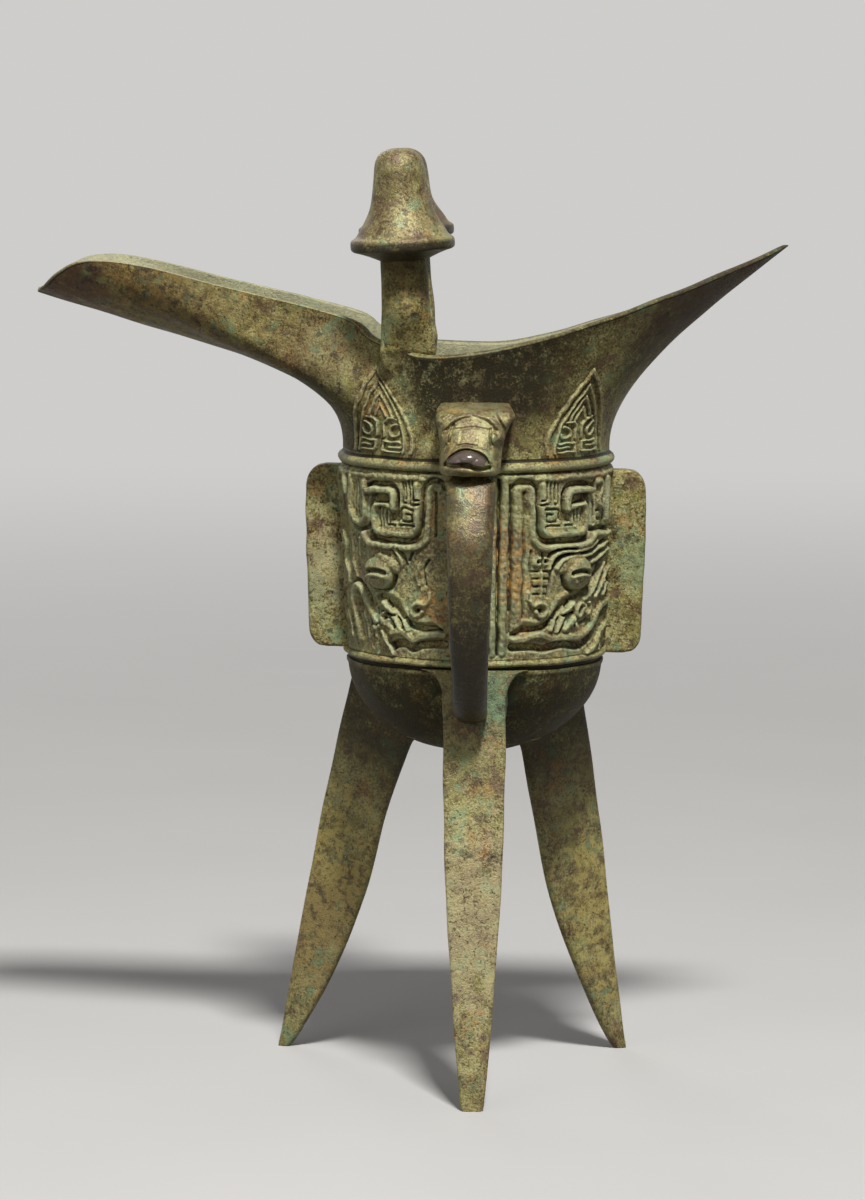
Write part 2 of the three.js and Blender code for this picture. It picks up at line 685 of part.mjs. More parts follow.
function flangeTongue(flange, grow) {
  const low = bowlTop + RIDGE_HEIGHT + TONGUE_MARGIN - flange.drop;
  const high = bandTop - RIDGE_HEIGHT - TONGUE_MARGIN - flange.drop;
  const inner = lerp(BOWL_RADIUS, BAND_RADIUS, 0.5) - TONGUE_DEPTH;
  const outer = BAND_RADIUS + 2;
  return box(outer - inner + grow, TONGUE_THICKNESS + 2 * grow, high - low + 2 * grow)
    .translate([(inner + outer) / 2 - grow / 2, 0, (low + high) / 2]);
}

// A square spacer through the bowl's wall, set square to it.
const spacerRadius = BOWL_RADIUS * SPACER_RADIUS_SHARE;
const spacerTilt = Math.atan2(spacerRadius * BOWL_HEIGHT, BOWL_RADIUS * BOWL_RADIUS);
const spacerHeight = bowlTop - BOWL_HEIGHT * Math.sqrt(1 - SPACER_RADIUS_SHARE ** 2);
function spacerBlock(spacer, grow, thickness) {
  return box(SPACER_WIDTH + 2 * grow, SPACER_WIDTH + 2 * grow, thickness)
    .translate([0, 0, WALL / 2])
    .rotate([0, (-spacerTilt * 180) / Math.PI, 0])
    .translate([spacerRadius, 0, spacerHeight])
    .rotate([0, 0, spacer.bearing]);
}

const bronze = (color, roughness) =>
  new THREE.MeshStandardMaterial({ color, roughness, metalness: 0.55 });
const PATINA = bronze(0x6e6c3f, 0.55);
const WORN = bronze(0x7d7550, 0.42);
const SPACER_BRONZE = bronze(0x5c5a3a, 0.6);
const CLAY = new THREE.MeshStandardMaterial({ color: 0x6b5a48, roughness: 0.95, metalness: 0 });

const cup = new THREE.Group();
function place(name, solid, material) {
  const mesh = new THREE.Mesh(toGeometry(solid), material.clone());
  mesh.name = name;
  cup.add(mesh);
}

const seatBlock = cupBlock(SEAT_GAP);
const rimSeat = toSolid(closedTube(rimBlock(SEAT_GAP)));

// The cup: one pour, with a tenon for each leg, a groove for each flange and a hole for each spacer.
const innerBlock = turned(
  [
    [0, bowlTop - BOWL_HEIGHT + WALL],
    ...Array.from({ length: 8 }, (_, k) => {
      const a = ((k + 1) / 8) * (Math.PI / 2);
      return [(BOWL_RADIUS - WALL) * Math.sin(a), bowlTop - (BOWL_HEIGHT - WALL) * Math.cos(a)];
    }),
    [BAND_RADIUS - WALL, bandTop],
    [0, bandTop],
  ],
  ROUND_STEPS,
);
let vessel = toSolid(skin(cupRings()));
for (const leg of LEGS) vessel = vessel.add(tenon(leg, 0).subtract(innerBlock));
for (const flange of FLANGES) {
  vessel = vessel.subtract(flangeTongue(flange, SEAT_GAP).rotate([0, 0, flange.bearing]));
}
for (const spacer of SPACERS) vessel = vessel.subtract(spacerBlock(spacer, SEAT_GAP, WALL * 3));
place("vessel_body", vessel, PATINA);

for (const leg of LEGS) {
  place(leg.name, legSolid(leg).subtract(seatBlock).subtract(tenon(leg, SEAT_GAP)), PATINA);
}

// The handle: strap and tongue, then the head with its mouth socket and its clay.
const frontLegBlock = legSolid(LEGS[0]).translate([0, -SEAT_GAP, 0]);
const mouthSocket = toSolid(skin(strapRings(0, TONGUE_SHARE, SEAT_GAP)));
const strapCut = toSolid(skin(strapRings(MOUTH_AT - SEAT_GAP / strapLength, 1, SEAT_GAP)));
const clayHollow = headClay(SEAT_GAP);
place("handle_strap", strapSolid().subtract(seatBlock).subtract(frontLegBlock), WORN);
const headCuts = [seatBlock, mouthSocket, strapCut, clayHollow];
place("handle_head", headCuts.reduce((head, cut) => head.subtract(cut), headSolid()), WORN);
place("handle_head_clay_core", headClay(0).subtract(seatBlock).subtract(mouthSocket), CLAY);

for (const post of POSTS) {
  place(`post_${post.label}`, postSolid(post), PATINA);
  place(`post_cap_${post.label}`, capSolid(post), WORN);
  place(`post_cap_clay_core_${post.label}`, capClay(post), CLAY);
}

for (const flange of FLANGES) {
  const plate = flangeSolid(flange).rotate([0, 0, flange.bearing]).subtract(seatBlock);
  place(flange.name, plate.add(flangeTongue(flange, 0).rotate([0, 0, flange.bearing])), PATINA);
}

for (const spacer of SPACERS) {
  place(spacer.name, spacerBlock(spacer, 0, WALL * 0.9), SPACER_BRONZE);
}

// The origin goes under the middle of the whole cup, on the ground.
const span = new THREE.Box3().setFromObject(cup);
cup.position.set(-(span.min.x + span.max.x) / 2, -(span.min.y + span.max.y) / 2, -span.min.z);

const part = new THREE.Group();
part.add(cup);
export default part;
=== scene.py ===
"""The looks of a bronze libation cup on three blade legs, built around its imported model.

The cup's wall, its cast relief, the legs, the handle under its animal's head, the capped posts and the
flanges are modelled here in millimetres, in a frame whose origin is under the cup's axis, and then laid in
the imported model's frame in metres.
"""

import math

import bmesh
import bpy
import numpy as np
from mathutils import Matrix, Vector


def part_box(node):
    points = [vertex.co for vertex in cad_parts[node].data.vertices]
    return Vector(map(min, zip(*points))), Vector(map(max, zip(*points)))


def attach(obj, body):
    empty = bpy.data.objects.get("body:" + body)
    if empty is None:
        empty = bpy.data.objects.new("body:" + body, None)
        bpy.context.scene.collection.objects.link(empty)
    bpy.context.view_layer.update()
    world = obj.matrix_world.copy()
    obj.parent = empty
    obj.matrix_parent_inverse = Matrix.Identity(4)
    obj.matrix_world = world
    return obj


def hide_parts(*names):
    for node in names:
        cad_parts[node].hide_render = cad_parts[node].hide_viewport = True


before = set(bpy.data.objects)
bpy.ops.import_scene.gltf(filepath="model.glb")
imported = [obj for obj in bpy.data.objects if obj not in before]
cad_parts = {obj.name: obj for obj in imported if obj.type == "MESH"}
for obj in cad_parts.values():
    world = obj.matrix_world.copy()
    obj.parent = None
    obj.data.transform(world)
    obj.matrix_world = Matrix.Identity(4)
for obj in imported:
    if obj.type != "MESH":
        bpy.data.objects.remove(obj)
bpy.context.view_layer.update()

bl_info = {
    "name": "Bronze Libation Cup",
    "version": (1, 0, 0),
    "blender": (4, 5, 0),
    "location": "3D View > Sidebar > Libation Cup",
    "description": "Models a cast and patinated libation cup around its packed frame",
    "category": "Object",
}

MM = 0.001
# Points of a mesh that lie closer than this, in metres, are made one
WELD = 1e-6


def middle_of(node, axis):
    low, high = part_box(node)
    return (low[axis] + high[axis]) / 2


# The cup's axis, on which the flange under the spout and the one opposite the handle are centred.
AXIS = np.array([middle_of("flange_opposite_handle", 0), middle_of("flange_under_spout", 1), 0.0]) / MM

# Heights of the cup over the ground, and its radii, in millimetres
BOWL_LOW = 75.6
BOWL_TOP = 97.5
BAND_TOP = 144.1
NECK_START = 146.5
RIM_LOW = 169.3
BOWL_RADIUS = 29.3
BAND_RADIUS = 31.0
NECK_RADIUS = 30.8
WALL = 2.4
TIP_WALL = 1.3

# The mouth, its spout and its tail
MOUTH_HALF_WIDTH = 30.0
MOUTH_MIDDLE = -1.0
MOUTH_RISE = 0.6
TAIL_REACH = 71.7
TAIL_RISE = 23.9
BACK_RIM_DROP = 2.6
SPOUT_REACH = 101.6
SPOUT_HALF_WIDTH = 14.8
SPOUT_ROOT = 24.5
LIP_RAKE = 11.6
LIP_CORNER_RISE = 20.0
LIP_FOOT_RISE = 12.0
SPOUT_ROOT_RISE = 3.9

# How the wall leaves the neck and meets the rim, at turns from the tail round to the spout's lip:
# climb above the neck before it turns out, run into the rim, slope there, heading there
FLARE = (
    (0, 16, 24, 38, 0),
    (20, 13.5, 19, 45, 12),
    (45, 10, 12, 56, 38),
    (90, 7, 6, 78, 90),
    (108, 8, 7, 77, 122),
    (126, 11, 14, 60, 170),
    (140, 13, 30, 44, 180),
    (156, 15, 44, 31, 180),
    (168, 16, 52, 20, 180),
    (180, 16.5, 55, 17, 180),
)

# The band's relief stands between these levels about the wall's own surface.
BAND_RECESS = 1.1
RELIEF_LIFT = 0.25
RELIEF_LOW = 99.6
RELIEF_HIGH = 143.0
RELIEF_PITCH = 0.17
# Its edges draw down over this width to this depth
RELIEF_EDGE = 0.8
RELIEF_EDGE_DEPTH = 0.85
# How far its lines stray from true, and over what length
HAND_WANDER = 0.16
HAND_WAVELENGTH = 5.5

LEGS = (
    # node, bearing, the foot's radius, bearing and width, how much deeper the keel is halfway and at the
    # root, and how dark the bowl's shadow painted on its top is
    ("leg_handle_side", -88.5, 46.5, -88.5, 5.0, 0.0, 3.0, 0.25),
    ("leg_tail_side", 55.0, 45.0, 39.0, 3.6, 3.4, 4.4, 0.8),
    ("leg_spout_side", 140.0, 53.0, 151.0, 3.4, 0.9, 4.4, 0.8),
)
LEG_WIDTH = 14.2
LEG_DEPTH = 13.5
LEG_PROUD = 1.2
FOOT_DEPTH = 2.4
# The shares of its height at which a leg has its whole width and depth, and where its shoulders start
LEG_WIDE_FROM = 0.85
LEG_DEEP_FROM = 0.45
SHOULDER_FROM = 0.93
SHOULDER_SPREAD = 5.0
# How far behind its outer face a leg's sides start to draw in
LEG_EDGE = 1.2
# How far a leg spreads against the bowl, and from what distance
FILLET_SPREAD = 2.6
FILLET_REACH = 5

FLANGES = (
    # node, bearing, and how much lower than the highest it sits
    ("flange_under_spout", 180, 0),
    ("flange_under_tail", 0, 0.8),
    ("flange_opposite_handle", 90, 0.4),
)
# How far the flanges, the legs and the head reach into the wall
FLANGE_ROOT = 1.75
LEG_ROOT = 1.3
HEAD_ROOT = 1.3

POSTS = (
    # name, side, x of the foot, height of the shaft, how far the cap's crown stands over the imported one, and
    # the cap's girth
    ("front", -1, -14.9, 20.3, 1.2, 1.0),
    ("back", 1, -16.0, 21.2, -1.5, 0.95),
)
POST_LEAN = 3.0


def lerp(a, b, t):
    return a + (b - a) * t


def smoothstep(t, low=0.0, high=1.0):
    s = np.clip((np.asarray(t, float) - low) / (high - low), 0, 1)
    return s * s * (3 - 2 * s)


def quarter(share):
    """0 where a share is 0 or less, and a quarter circle up to 1 where it is 1."""
    return 1 - math.sqrt(max(1 - max(share, 0) ** 2, 0))


def through(stations, t):
    """The other columns at each t of stations that hold t first, on a smooth curve through them."""
    stations = np.asarray(stations, float)
    knots, values = stations[:, 0], stations[:, 1:]
    t = np.asarray(t, float)
    last = len(knots) - 1
    a = np.clip(np.searchsorted(knots, t) - 1, 0, last - 1)
    b, before, after = a + 1, np.maximum(a - 1, 0), np.minimum(a + 2, last)
    span = knots[b] - knots[a]
    s = np.clip((t - knots[a]) / span, 0, 1)[..., None]
    slope_a = (values[b] - values[before]) / (knots[b] - knots[before])[..., None]
    slope_b = (values[after] - values[a]) / (knots[after] - knots[a])[..., None]
    span = span[..., None]
    curve = (2 * s**3 - 3 * s**2 + 1) * values[a] + (s**3 - 2 * s**2 + s) * span * slope_a
    curve = curve + (3 * s**2 - 2 * s**3) * values[b] + (s**3 - s**2) * span * slope_b
    return np.moveaxis(curve, -1, 0)


def walked(points):
    """How far along a line of points each of them lies."""
    return np.concatenate([[0], np.cumsum(np.linalg.norm(np.diff(points, axis=0), axis=1))])


def rim_stations():
    """Half of the rim from the tail's tip to the spout's lip: turn, x, half width, rise."""
    stations = []
    for turn in (0, 8, 18, 30, 45, 60, 75, 90):
        out = 1 - (turn / 90) ** 1.12
        width = MOUTH_HALF_WIDTH * math.sin(math.radians(turn)) ** 0.92
        rise = lerp(MOUTH_RISE, TAIL_RISE, out**1.3)
        stations.append((turn, lerp(MOUTH_MIDDLE, TAIL_REACH, out), width, rise))
    for turn, along, inwards, up in ((100, 0.37, 0.13, 0), (108, 0.68, 0.36, 0.25), (115, 1, 0.66, 1)):
        width = lerp(MOUTH_HALF_WIDTH, SPOUT_HALF_WIDTH, inwards)
        stations.append((turn, lerp(MOUTH_MIDDLE, -SPOUT_ROOT, along), width, SPOUT_ROOT_RISE * up))
    corner = LIP_RAKE - SPOUT_REACH
    for turn, along, wider, up in (
        (120, 0.06, 3, 0.21),
        (127, 0.2, 1.8, 0.37),
        (138, 0.51, 0.6, 0.66),
        (149, 0.84, 0, 0.97),
        (156, 1, -0.1 * SPOUT_HALF_WIDTH, 1),
    ):
        rise = lerp(SPOUT_ROOT_RISE, LIP_CORNER_RISE, up)
        stations.append((turn, lerp(-SPOUT_ROOT, corner, along), SPOUT_HALF_WIDTH + wider, rise))
    for turn, along, width, down in ((163, 0.5, 0.71, 0.33), (171, 0.84, 0.41, 0.75), (180, 1, 0, 1)):
        rise = lerp(LIP_CORNER_RISE, LIP_FOOT_RISE, down)
        stations.append((turn, corner - LIP_RAKE * along, SPOUT_HALF_WIDTH * width, rise))
    return stations


RIM = rim_stations()


def half_turn(turn):
    """The turn on the handle's side, and -1 there or 1 on the back."""
    turn = np.asarray(turn, float)
    return np.where(turn > 180, 360 - turn, turn), np.where(turn > 180, 1.0, -1.0)


def rim_point(turn):
    """The rim's outer edge at a turn, where 0 is the tail's tip and 180 the spout's lip."""
    half, side = half_turn(turn)
    x, width, rise = through(RIM, half)
    width = np.maximum(width, 0)
    drop = BACK_RIM_DROP * smoothstep(x, -14, 12) * np.clip(width / 8, 0, 1)
    return np.stack([x, side * width, RIM_LOW + rise - np.where(side > 0, drop, 0)], -1)


def rim_run(turn):
    """The direction in which the wall meets the rim at a turn."""
    half, side = half_turn(turn)
    slope, heading = (np.radians(column) for column in through(FLARE, half)[2:])
    flat = np.cos(slope)
    return np.stack([flat * np.cos(heading), side * flat * np.sin(heading), np.sin(slope)], -1)


def flare_point(turn, along, inset=0.0):
    """A point of the flared wall: along is 0 at the neck and 1 at the rim, inset 0 outside and 1 inside."""
    turn, along = np.broadcast_arrays(np.asarray(turn, float), np.asarray(along, float))
    half, _ = half_turn(turn)
    radius = NECK_RADIUS - inset * WALL
    angle = np.radians(turn)
    start = np.stack([radius * np.cos(angle), -radius * np.sin(angle), np.full(turn.shape, NECK_START)], -1)
    run, end = rim_run(turn), rim_point(turn)
    climb, reach = through(FLARE, half)[:2]
    if inset:
        step = 0.5
        tangent = rim_point(np.minimum(turn + step, 360)) - rim_point(np.maximum(turn - step, 0))
        outward = -np.cross(tangent, run)
        outward /= np.linalg.norm(outward, axis=-1, keepdims=True)
        # The top of a flared wall is level, where the wall is steep enough for it.
        flat_part = np.hypot(outward[..., 0], outward[..., 1])
        is_level = smoothstep(flat_part, 0.35, 0.6)
        outward[..., :2] *= lerp(1, 1 / np.maximum(flat_part, 0.35) ** 2, is_level)[..., None]
        outward[..., 2] *= 1 - is_level
        wall = lerp(WALL, TIP_WALL, smoothstep(half, 112, 132)) * lerp(0.55, 1, smoothstep(half, 0, 30))
        wall = (wall + 1.3 * smoothstep(half, 146, 160) * (1 - smoothstep(half, 168, 179))) * inset
        width = np.abs(end[..., 1])
        inner = np.maximum(width - wall * np.abs(outward[..., 1]), width * 0.5)
        x = end[..., 0] - wall * outward[..., 0]
        z = end[..., 2] - np.minimum(wall * outward[..., 2], 0)
        end = np.stack([x, np.sign(end[..., 1]) * inner, z], -1)
    up = np.zeros(turn.shape + (3,))
    up[..., 2] = climb + inset * 1.2
    bends = (start, start + up, end - run * reach[..., None], end)
    s = along[..., None]
    weights = ((1 - s) ** 3, 3 * s * (1 - s) ** 2, 3 * s**2 * (1 - s), s**3)
    return sum(weight * bend for weight, bend in zip(weights, bends))


def wall_radius(z):
    """The radius of the plain wall at a height up to the neck."""
    z = np.asarray(z, float)
    down = np.clip((BOWL_TOP - z) / (BOWL_TOP - BOWL_LOW), 0, 1)
    bowl = BOWL_RADIUS * np.sqrt(1 - down**2)
    band = lerp(BOWL_RADIUS, BAND_RADIUS, smoothstep(z, BOWL_TOP, BAND_TOP))
    neck = lerp(BAND_RADIUS, NECK_RADIUS, np.clip((z - BAND_TOP) / (NECK_START - BAND_TOP), 0, 1))
    return np.where(z < BOWL_TOP, bowl, np.where(z < BAND_TOP, band, neck))


def swell(points, wavelength, seed):
    """A smooth unevenness from about -1 to 1 at each point, the same each time for a seed."""
    draw = np.random.default_rng(seed)
    total = np.zeros(points.shape[:-1])
    for _ in range(7):
        way = draw.normal(size=3)
        way *= draw.uniform(0.7, 1.4) * 2 * math.pi / wavelength / np.linalg.norm(way)
        total += np.sin(points @ way + draw.uniform(0, 2 * math.pi))
    return total / 3.5


def uneven(points, amount, wavelength, seed):
    """The points, each moved a little along a smooth field, as a casting's surface wanders."""
    moves = [swell(points, wavelength, seed * 3 + k) for k in range(3)]
    return points + amount * np.stack(moves, -1)


def ring(turns, radius, z):
    """A level ring about the cup's axis, through a point at each turn."""
    angle = np.radians(turns)
    return np.stack([radius * np.cos(angle), -radius * np.sin(angle), np.full(turns.shape, float(z))], -1)


def net(points, **marks):
    """A bmesh grid laid over rows of points, (rows, columns, 3) in millimetres about the cup's axis.

    Each mark is an attribute of the points that the materials read: relief runs from -0.5 in a recess to 0.5
    on an edge, and from it the materials paint shade into a recess and a paler colour with a painted highlight
    on an edge, inside is 1 where the drink was, polish is 1 where hands have rubbed, and the fourth mark is 1
    where painted shade and soot are darkest."""
    rows, columns = points.shape[:2]
    bm = bmesh.new()
    bmesh.ops.create_grid(bm, x_segments=columns - 1, y_segments=rows - 1, size=0.5)
    layers = [(bm.verts.layers.float.new(name), mark) for name, mark in marks.items()]
    placed = (points + AXIS) * MM
    for vertex in bm.verts:
        column = round((vertex.co.x + 0.5) * (columns - 1))
        row = round((vertex.co.y + 0.5) * (rows - 1))
        vertex.co = placed[row, column]
        for layer, mark in layers:
            vertex[layer] = mark[row, column]
    return bm


def close(bm):
    """Welds the seams and poles of a net and fills the flat ends that are left."""
    bmesh.ops.remove_doubles(bm, verts=bm.verts, dist=WELD)
    bmesh.ops.dissolve_degenerate(bm, dist=WELD, edges=bm.edges)
    gaps = [edge for edge in bm.edges if edge.is_boundary]
    if gaps:
        bmesh.ops.holes_fill(bm, edges=gaps, sides=0)
    return bm


def capped(levels):
    """Levels of closed rings, with a level at the middle of each end for its pole."""
    levels = np.asarray(levels, float)
    ends = [np.broadcast_to(levels[k].mean(0), levels[k].shape) for k in (0, -1)]
    stack = np.concatenate([ends[0][None], levels, ends[1][None]])
    return np.concatenate([stack, stack[:, :1]], 1)


def capped_mark(mark):
    """A mark of such rings, carried on to their poles and their seam."""
    return np.pad(mark, ((1, 1), (0, 1)), mode="edge")


def add_piece(name, bm, material, slot, *nodes, sharp=50):
    """Makes an object of a closed net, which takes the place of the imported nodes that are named."""
    bmesh.ops.recalc_face_normals(bm, faces=bm.faces)
    mesh = bpy.data.meshes.new(name)
    bm.to_mesh(mesh)
    bm.free()
    mesh.materials.append(bpy.data.materials[material])
    mesh.shade_smooth()
    mesh.set_sharp_from_angle(angle=math.radians(sharp))
    piece = bpy.data.objects.new(name, mesh)
    bpy.context.scene.collection.objects.link(piece)
    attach(piece, "root")
    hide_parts(*nodes)
    return piece


def add_relief(name, front, back, mark):
    """Closes a sheet of relief into a slab with the rows of its back, and adds it over the cup's wall."""
    points = np.concatenate([front, back, front[:1]])
    mark = np.concatenate([mark, np.zeros((len(back) + 1, front.shape[1]))])
    slab = close(net(points, relief=mark))
    add_piece(name, slab, "patina relief", "patinated_bronze", "vessel_body", sharp=75)


# The lines of cast relief: each has a level, a width and its points. Levels are in millimetres about the
# relief's plain top. A line lays its level over what was there before it.
CUT, FINE, BAND, LOW_BAND = -1.3, -0.72, 0.98, 0.52
# A curved line has a point at about every such length.
CURVE_STEP = 0.35
# Lines of these widths are the smallest, and keep their corners unless they have more than three points.
CORNERED_WIDTHS = (0.45, 0.5)


def curve_points(points, smooth):
    """The points of a line, rounded by a smooth curve through them where it is a flowing one."""
    points = np.asarray(points, float)
    if not smooth or len(points) < 3:
        return points
    lengths = walked(points)
    stations = np.column_stack([lengths, points])
    count = max(int(lengths[-1] / CURVE_STEP), 2)
    return np.stack(through(stations, np.linspace(0, lengths[-1], count + 1)), -1)


def distance_to(across, up, points):
    """The distance of each place of a relief from a line."""
    nearest = np.full(across.shape, np.inf)
    for (x0, y0), (x1, y1) in zip(points[:-1], points[1:]):
        dx, dy = x1 - x0, y1 - y0
        share = np.clip(((across - x0) * dx + (up - y0) * dy) / max(dx * dx + dy * dy, 1e-12), 0, 1)
        nearest = np.minimum(nearest, np.hypot(across - x0 - share * dx, up - y0 - share * dy))
    return nearest


def lay_line(height, across, up, level, width, points, smooth=True, soft=None, relative=False):
    """Lays one line into a height field: a raised one is rounded over, and a cut has steep sides."""
    points = curve_points(points, smooth)
    if soft is None:
        soft = min(0.42, width * 0.36) if level > 0 else min(0.28, width * 0.34)
    reach = width / 2 + soft
    (left, low), (right, high) = points.min(0) - reach, points.max(0) + reach
    near = (across > left) & (across < right) & (up > low) & (up < high)
    if not near.any():
        return
    away = distance_to(across[near], up[near], points)
    share = 1 - smoothstep(away, width / 2 - soft, width / 2 + soft)
    old = height[near]
    height[near] = old + level * share if relative else old + (level - old) * share


def lay_dome(height, across, up, centre, radii, rise, tilt=0.0):
    """Lays a rounded boss over a height field."""
    turn = math.radians(tilt)
    x, y = across - centre[0], up - centre[1]
    u = (x * math.cos(turn) + y * math.sin(turn)) / radii[0]
    v = (y * math.cos(turn) - x * math.sin(turn)) / radii[1]
    share = np.sqrt(np.clip(1 - u * u - v * v, 0, 1))
    lifted = np.where(share > 0, rise * share, -np.inf)
    height[:] = np.maximum(height, lifted)


def blurred(field, radius):
    """The field averaged over a window of about that many cells each way."""
    weights = np.hanning(2 * radius + 3)[1:-1]
    weights /= weights.sum()
    padded = np.pad(field, radius, mode="edge")
    rows = np.apply_along_axis(np.convolve, 0, padded, weights, "valid")
    return np.apply_along_axis(np.convolve, 1, rows, weights, "valid")


def relief_mark(height, radius):
    """Below 0 in a recess, 0 on a level place and above it on an edge: the mark for painted shade and
    highlights.
    """
    return np.clip((height - blurred(height, radius)) * 0.5, -0.5, 0.5)


# What both halves of the mask share, as arc from the flange and height over the ground
MASK_LINES = (
    # Plain border under the upper ridge
    (LOW_BAND, 1.0, ((2, 141.3), (33.4, 141.3))),
    # Upright bars and strips beside the handle
    (LOW_BAND, 1.2, ((46.4, 141.5), (46.4, 101.6))),
    (CUT, 0.8, ((45.1, 141.5), (45.1, 101.6))),
    (LOW_BAND, 1.2, ((43.9, 141.5), (43.9, 101.6))),
    (CUT, 0.75, ((42.6, 141.5), (42.6, 101.6))),
    (LOW_BAND, 1.25, ((41.3, 141.6), (41.3, 101.8))),
    # The horn's outer band, and the deep groove within it, which winds into a square spiral
    (BAND, 1.35, ((35.2, 139.6), (35.0, 134), (34.8, 130), (34.0, 127.1), (32.2, 125.8), (29, 125.6),
                  (22, 125.6), (17.8, 125.9), (15.8, 126.8), (14.5, 128.0))),
    (CUT, 1.3, ((39.0, 139.6), (38.4, 140.7), (37.0, 141.0), (35.2, 140.8), (34.2, 139.6), (33.8, 137.5),
                (33.5, 133), (33.3, 130.3), (32.7, 128.5), (31.2, 127.3), (28, 127.1), (22, 127.1),
                (19, 127.2), (17.6, 127.9), (17.3, 129.6), (17.8, 134), (18.1, 135.9), (18.9, 136.9),
                (20.6, 137.0), (23.9, 136.8))),
    (BAND, 1.35, ((32.2, 139.9), (32.2, 136), (32.0, 131), (31.4, 129.3), (30, 128.6), (22, 128.6),
                  (19.9, 128.9), (19.0, 130.2), (19.4, 134), (20.1, 135.0), (21.6, 135.2), (24, 134.8))),
    (CUT, 1.7, ((19.8, 136.2), (24.0, 136.2))),
    # The hook that fills the spiral's upper end
    (CUT, 1.15, ((16.6, 139.0), (17.6, 139.4), (20, 139.7), (23.3, 139.8), (25.3, 139.4), (26.4, 138.0),
                 (26.6, 136), (26.4, 134.2), (26.0, 133.2))),
    (CUT, 1.9, ((27.0, 132.9), (26.0, 132.4), (24.6, 132.4))),
    (BAND, 1.45, ((16.8, 137.9), (20, 138.3), (23.2, 138.3), (24.7, 137.8), (25.2, 136.6), (25.2, 134.4))),
    # Square spirals that fill the horn
    (FINE, 0.45, ((31.0, 140.6), (31.0, 136.4), (32.6, 136.4))),
    (FINE, 0.45, ((30.0, 140.6), (30.0, 135.4), (32.6, 135.4))),
    (FINE, 0.45, ((29.0, 140.6), (29.0, 136.4))),
    (FINE, 0.45, ((28.1, 140.4), (28.1, 135.6), (29.0, 135.6))),
    (FINE, 0.45, ((31.6, 134.3), (27.9, 134.3), (27.9, 131.7), (30.6, 131.7), (30.6, 133.2), (29.2, 133.2))),
    (FINE, 0.45, ((31.6, 130.6), (26.7, 130.6), (26.7, 131.4))),
    (FINE, 0.45, ((23.9, 131.2), (23.9, 134.0))),
    (FINE, 0.45, ((25.6, 130.6), (22.8, 130.6), (22.8, 134.2))),
    (FINE, 0.45, ((21.7, 130.0), (21.7, 134.4))),
    (FINE, 0.45, ((20.7, 130.2), (20.7, 134.2))),
    # The cheek's deep groove, and the strand over it
    (CUT, 1.35, ((38.8, 105.9), (36.6, 107.2), (33.6, 107.3), (31, 107.6), (29.2, 108.6), (27.8, 110.4),
                 (26.2, 112.2), (23.6, 113.4), (20.6, 113.9))),
    (LOW_BAND, 1.0, ((38.2, 107.9), (36, 109.0), (33.4, 108.9), (31, 109.4), (29.4, 110.8), (28.2, 112.6),
                     (26.4, 114.2), (24.6, 115.0))),
    # Strands between that groove and the lip
    (BAND, 0.85, ((29.3, 106.7), (28.4, 108.6))),
    (CUT, 0.45, ((28.2, 106.4), (27.2, 108.4), (26.6, 109.4))),
    (BAND, 1.05, ((27.4, 106.3), (26.6, 107.8), (25.4, 109.6))),
    (CUT, 0.5, ((26.2, 106.2), (25.2, 108.0), (23.9, 109.6))),
    (BAND, 1.2, ((24.9, 106.6), (23.2, 107.8), (21.6, 108.9))),
    (CUT, 0.5, ((25.6, 110.0), (23.6, 109.8), (21.4, 110.4))),
    (BAND, 1.0, ((25.6, 110.6), (24.0, 111.2), (22.2, 112.4))),
    (CUT, 0.45, ((24.6, 111.9), (22.8, 112.9))),
    (CUT, 0.45, ((21.0, 107.2), (20.0, 109.0), (20.4, 111.0))),
    # The curl on the cheek
    (BAND, 0.95, ((35.0, 115.4), (34.8, 113.6), (33.7, 112.6), (32.4, 112.9), (31.0, 112.5), (30.4, 111.3),
                  (31.2, 110.1), (32.6, 110.2), (33.3, 111.1))),
    (CUT, 0.7, ((32.2, 111.3), (31.8, 111.4))),
)
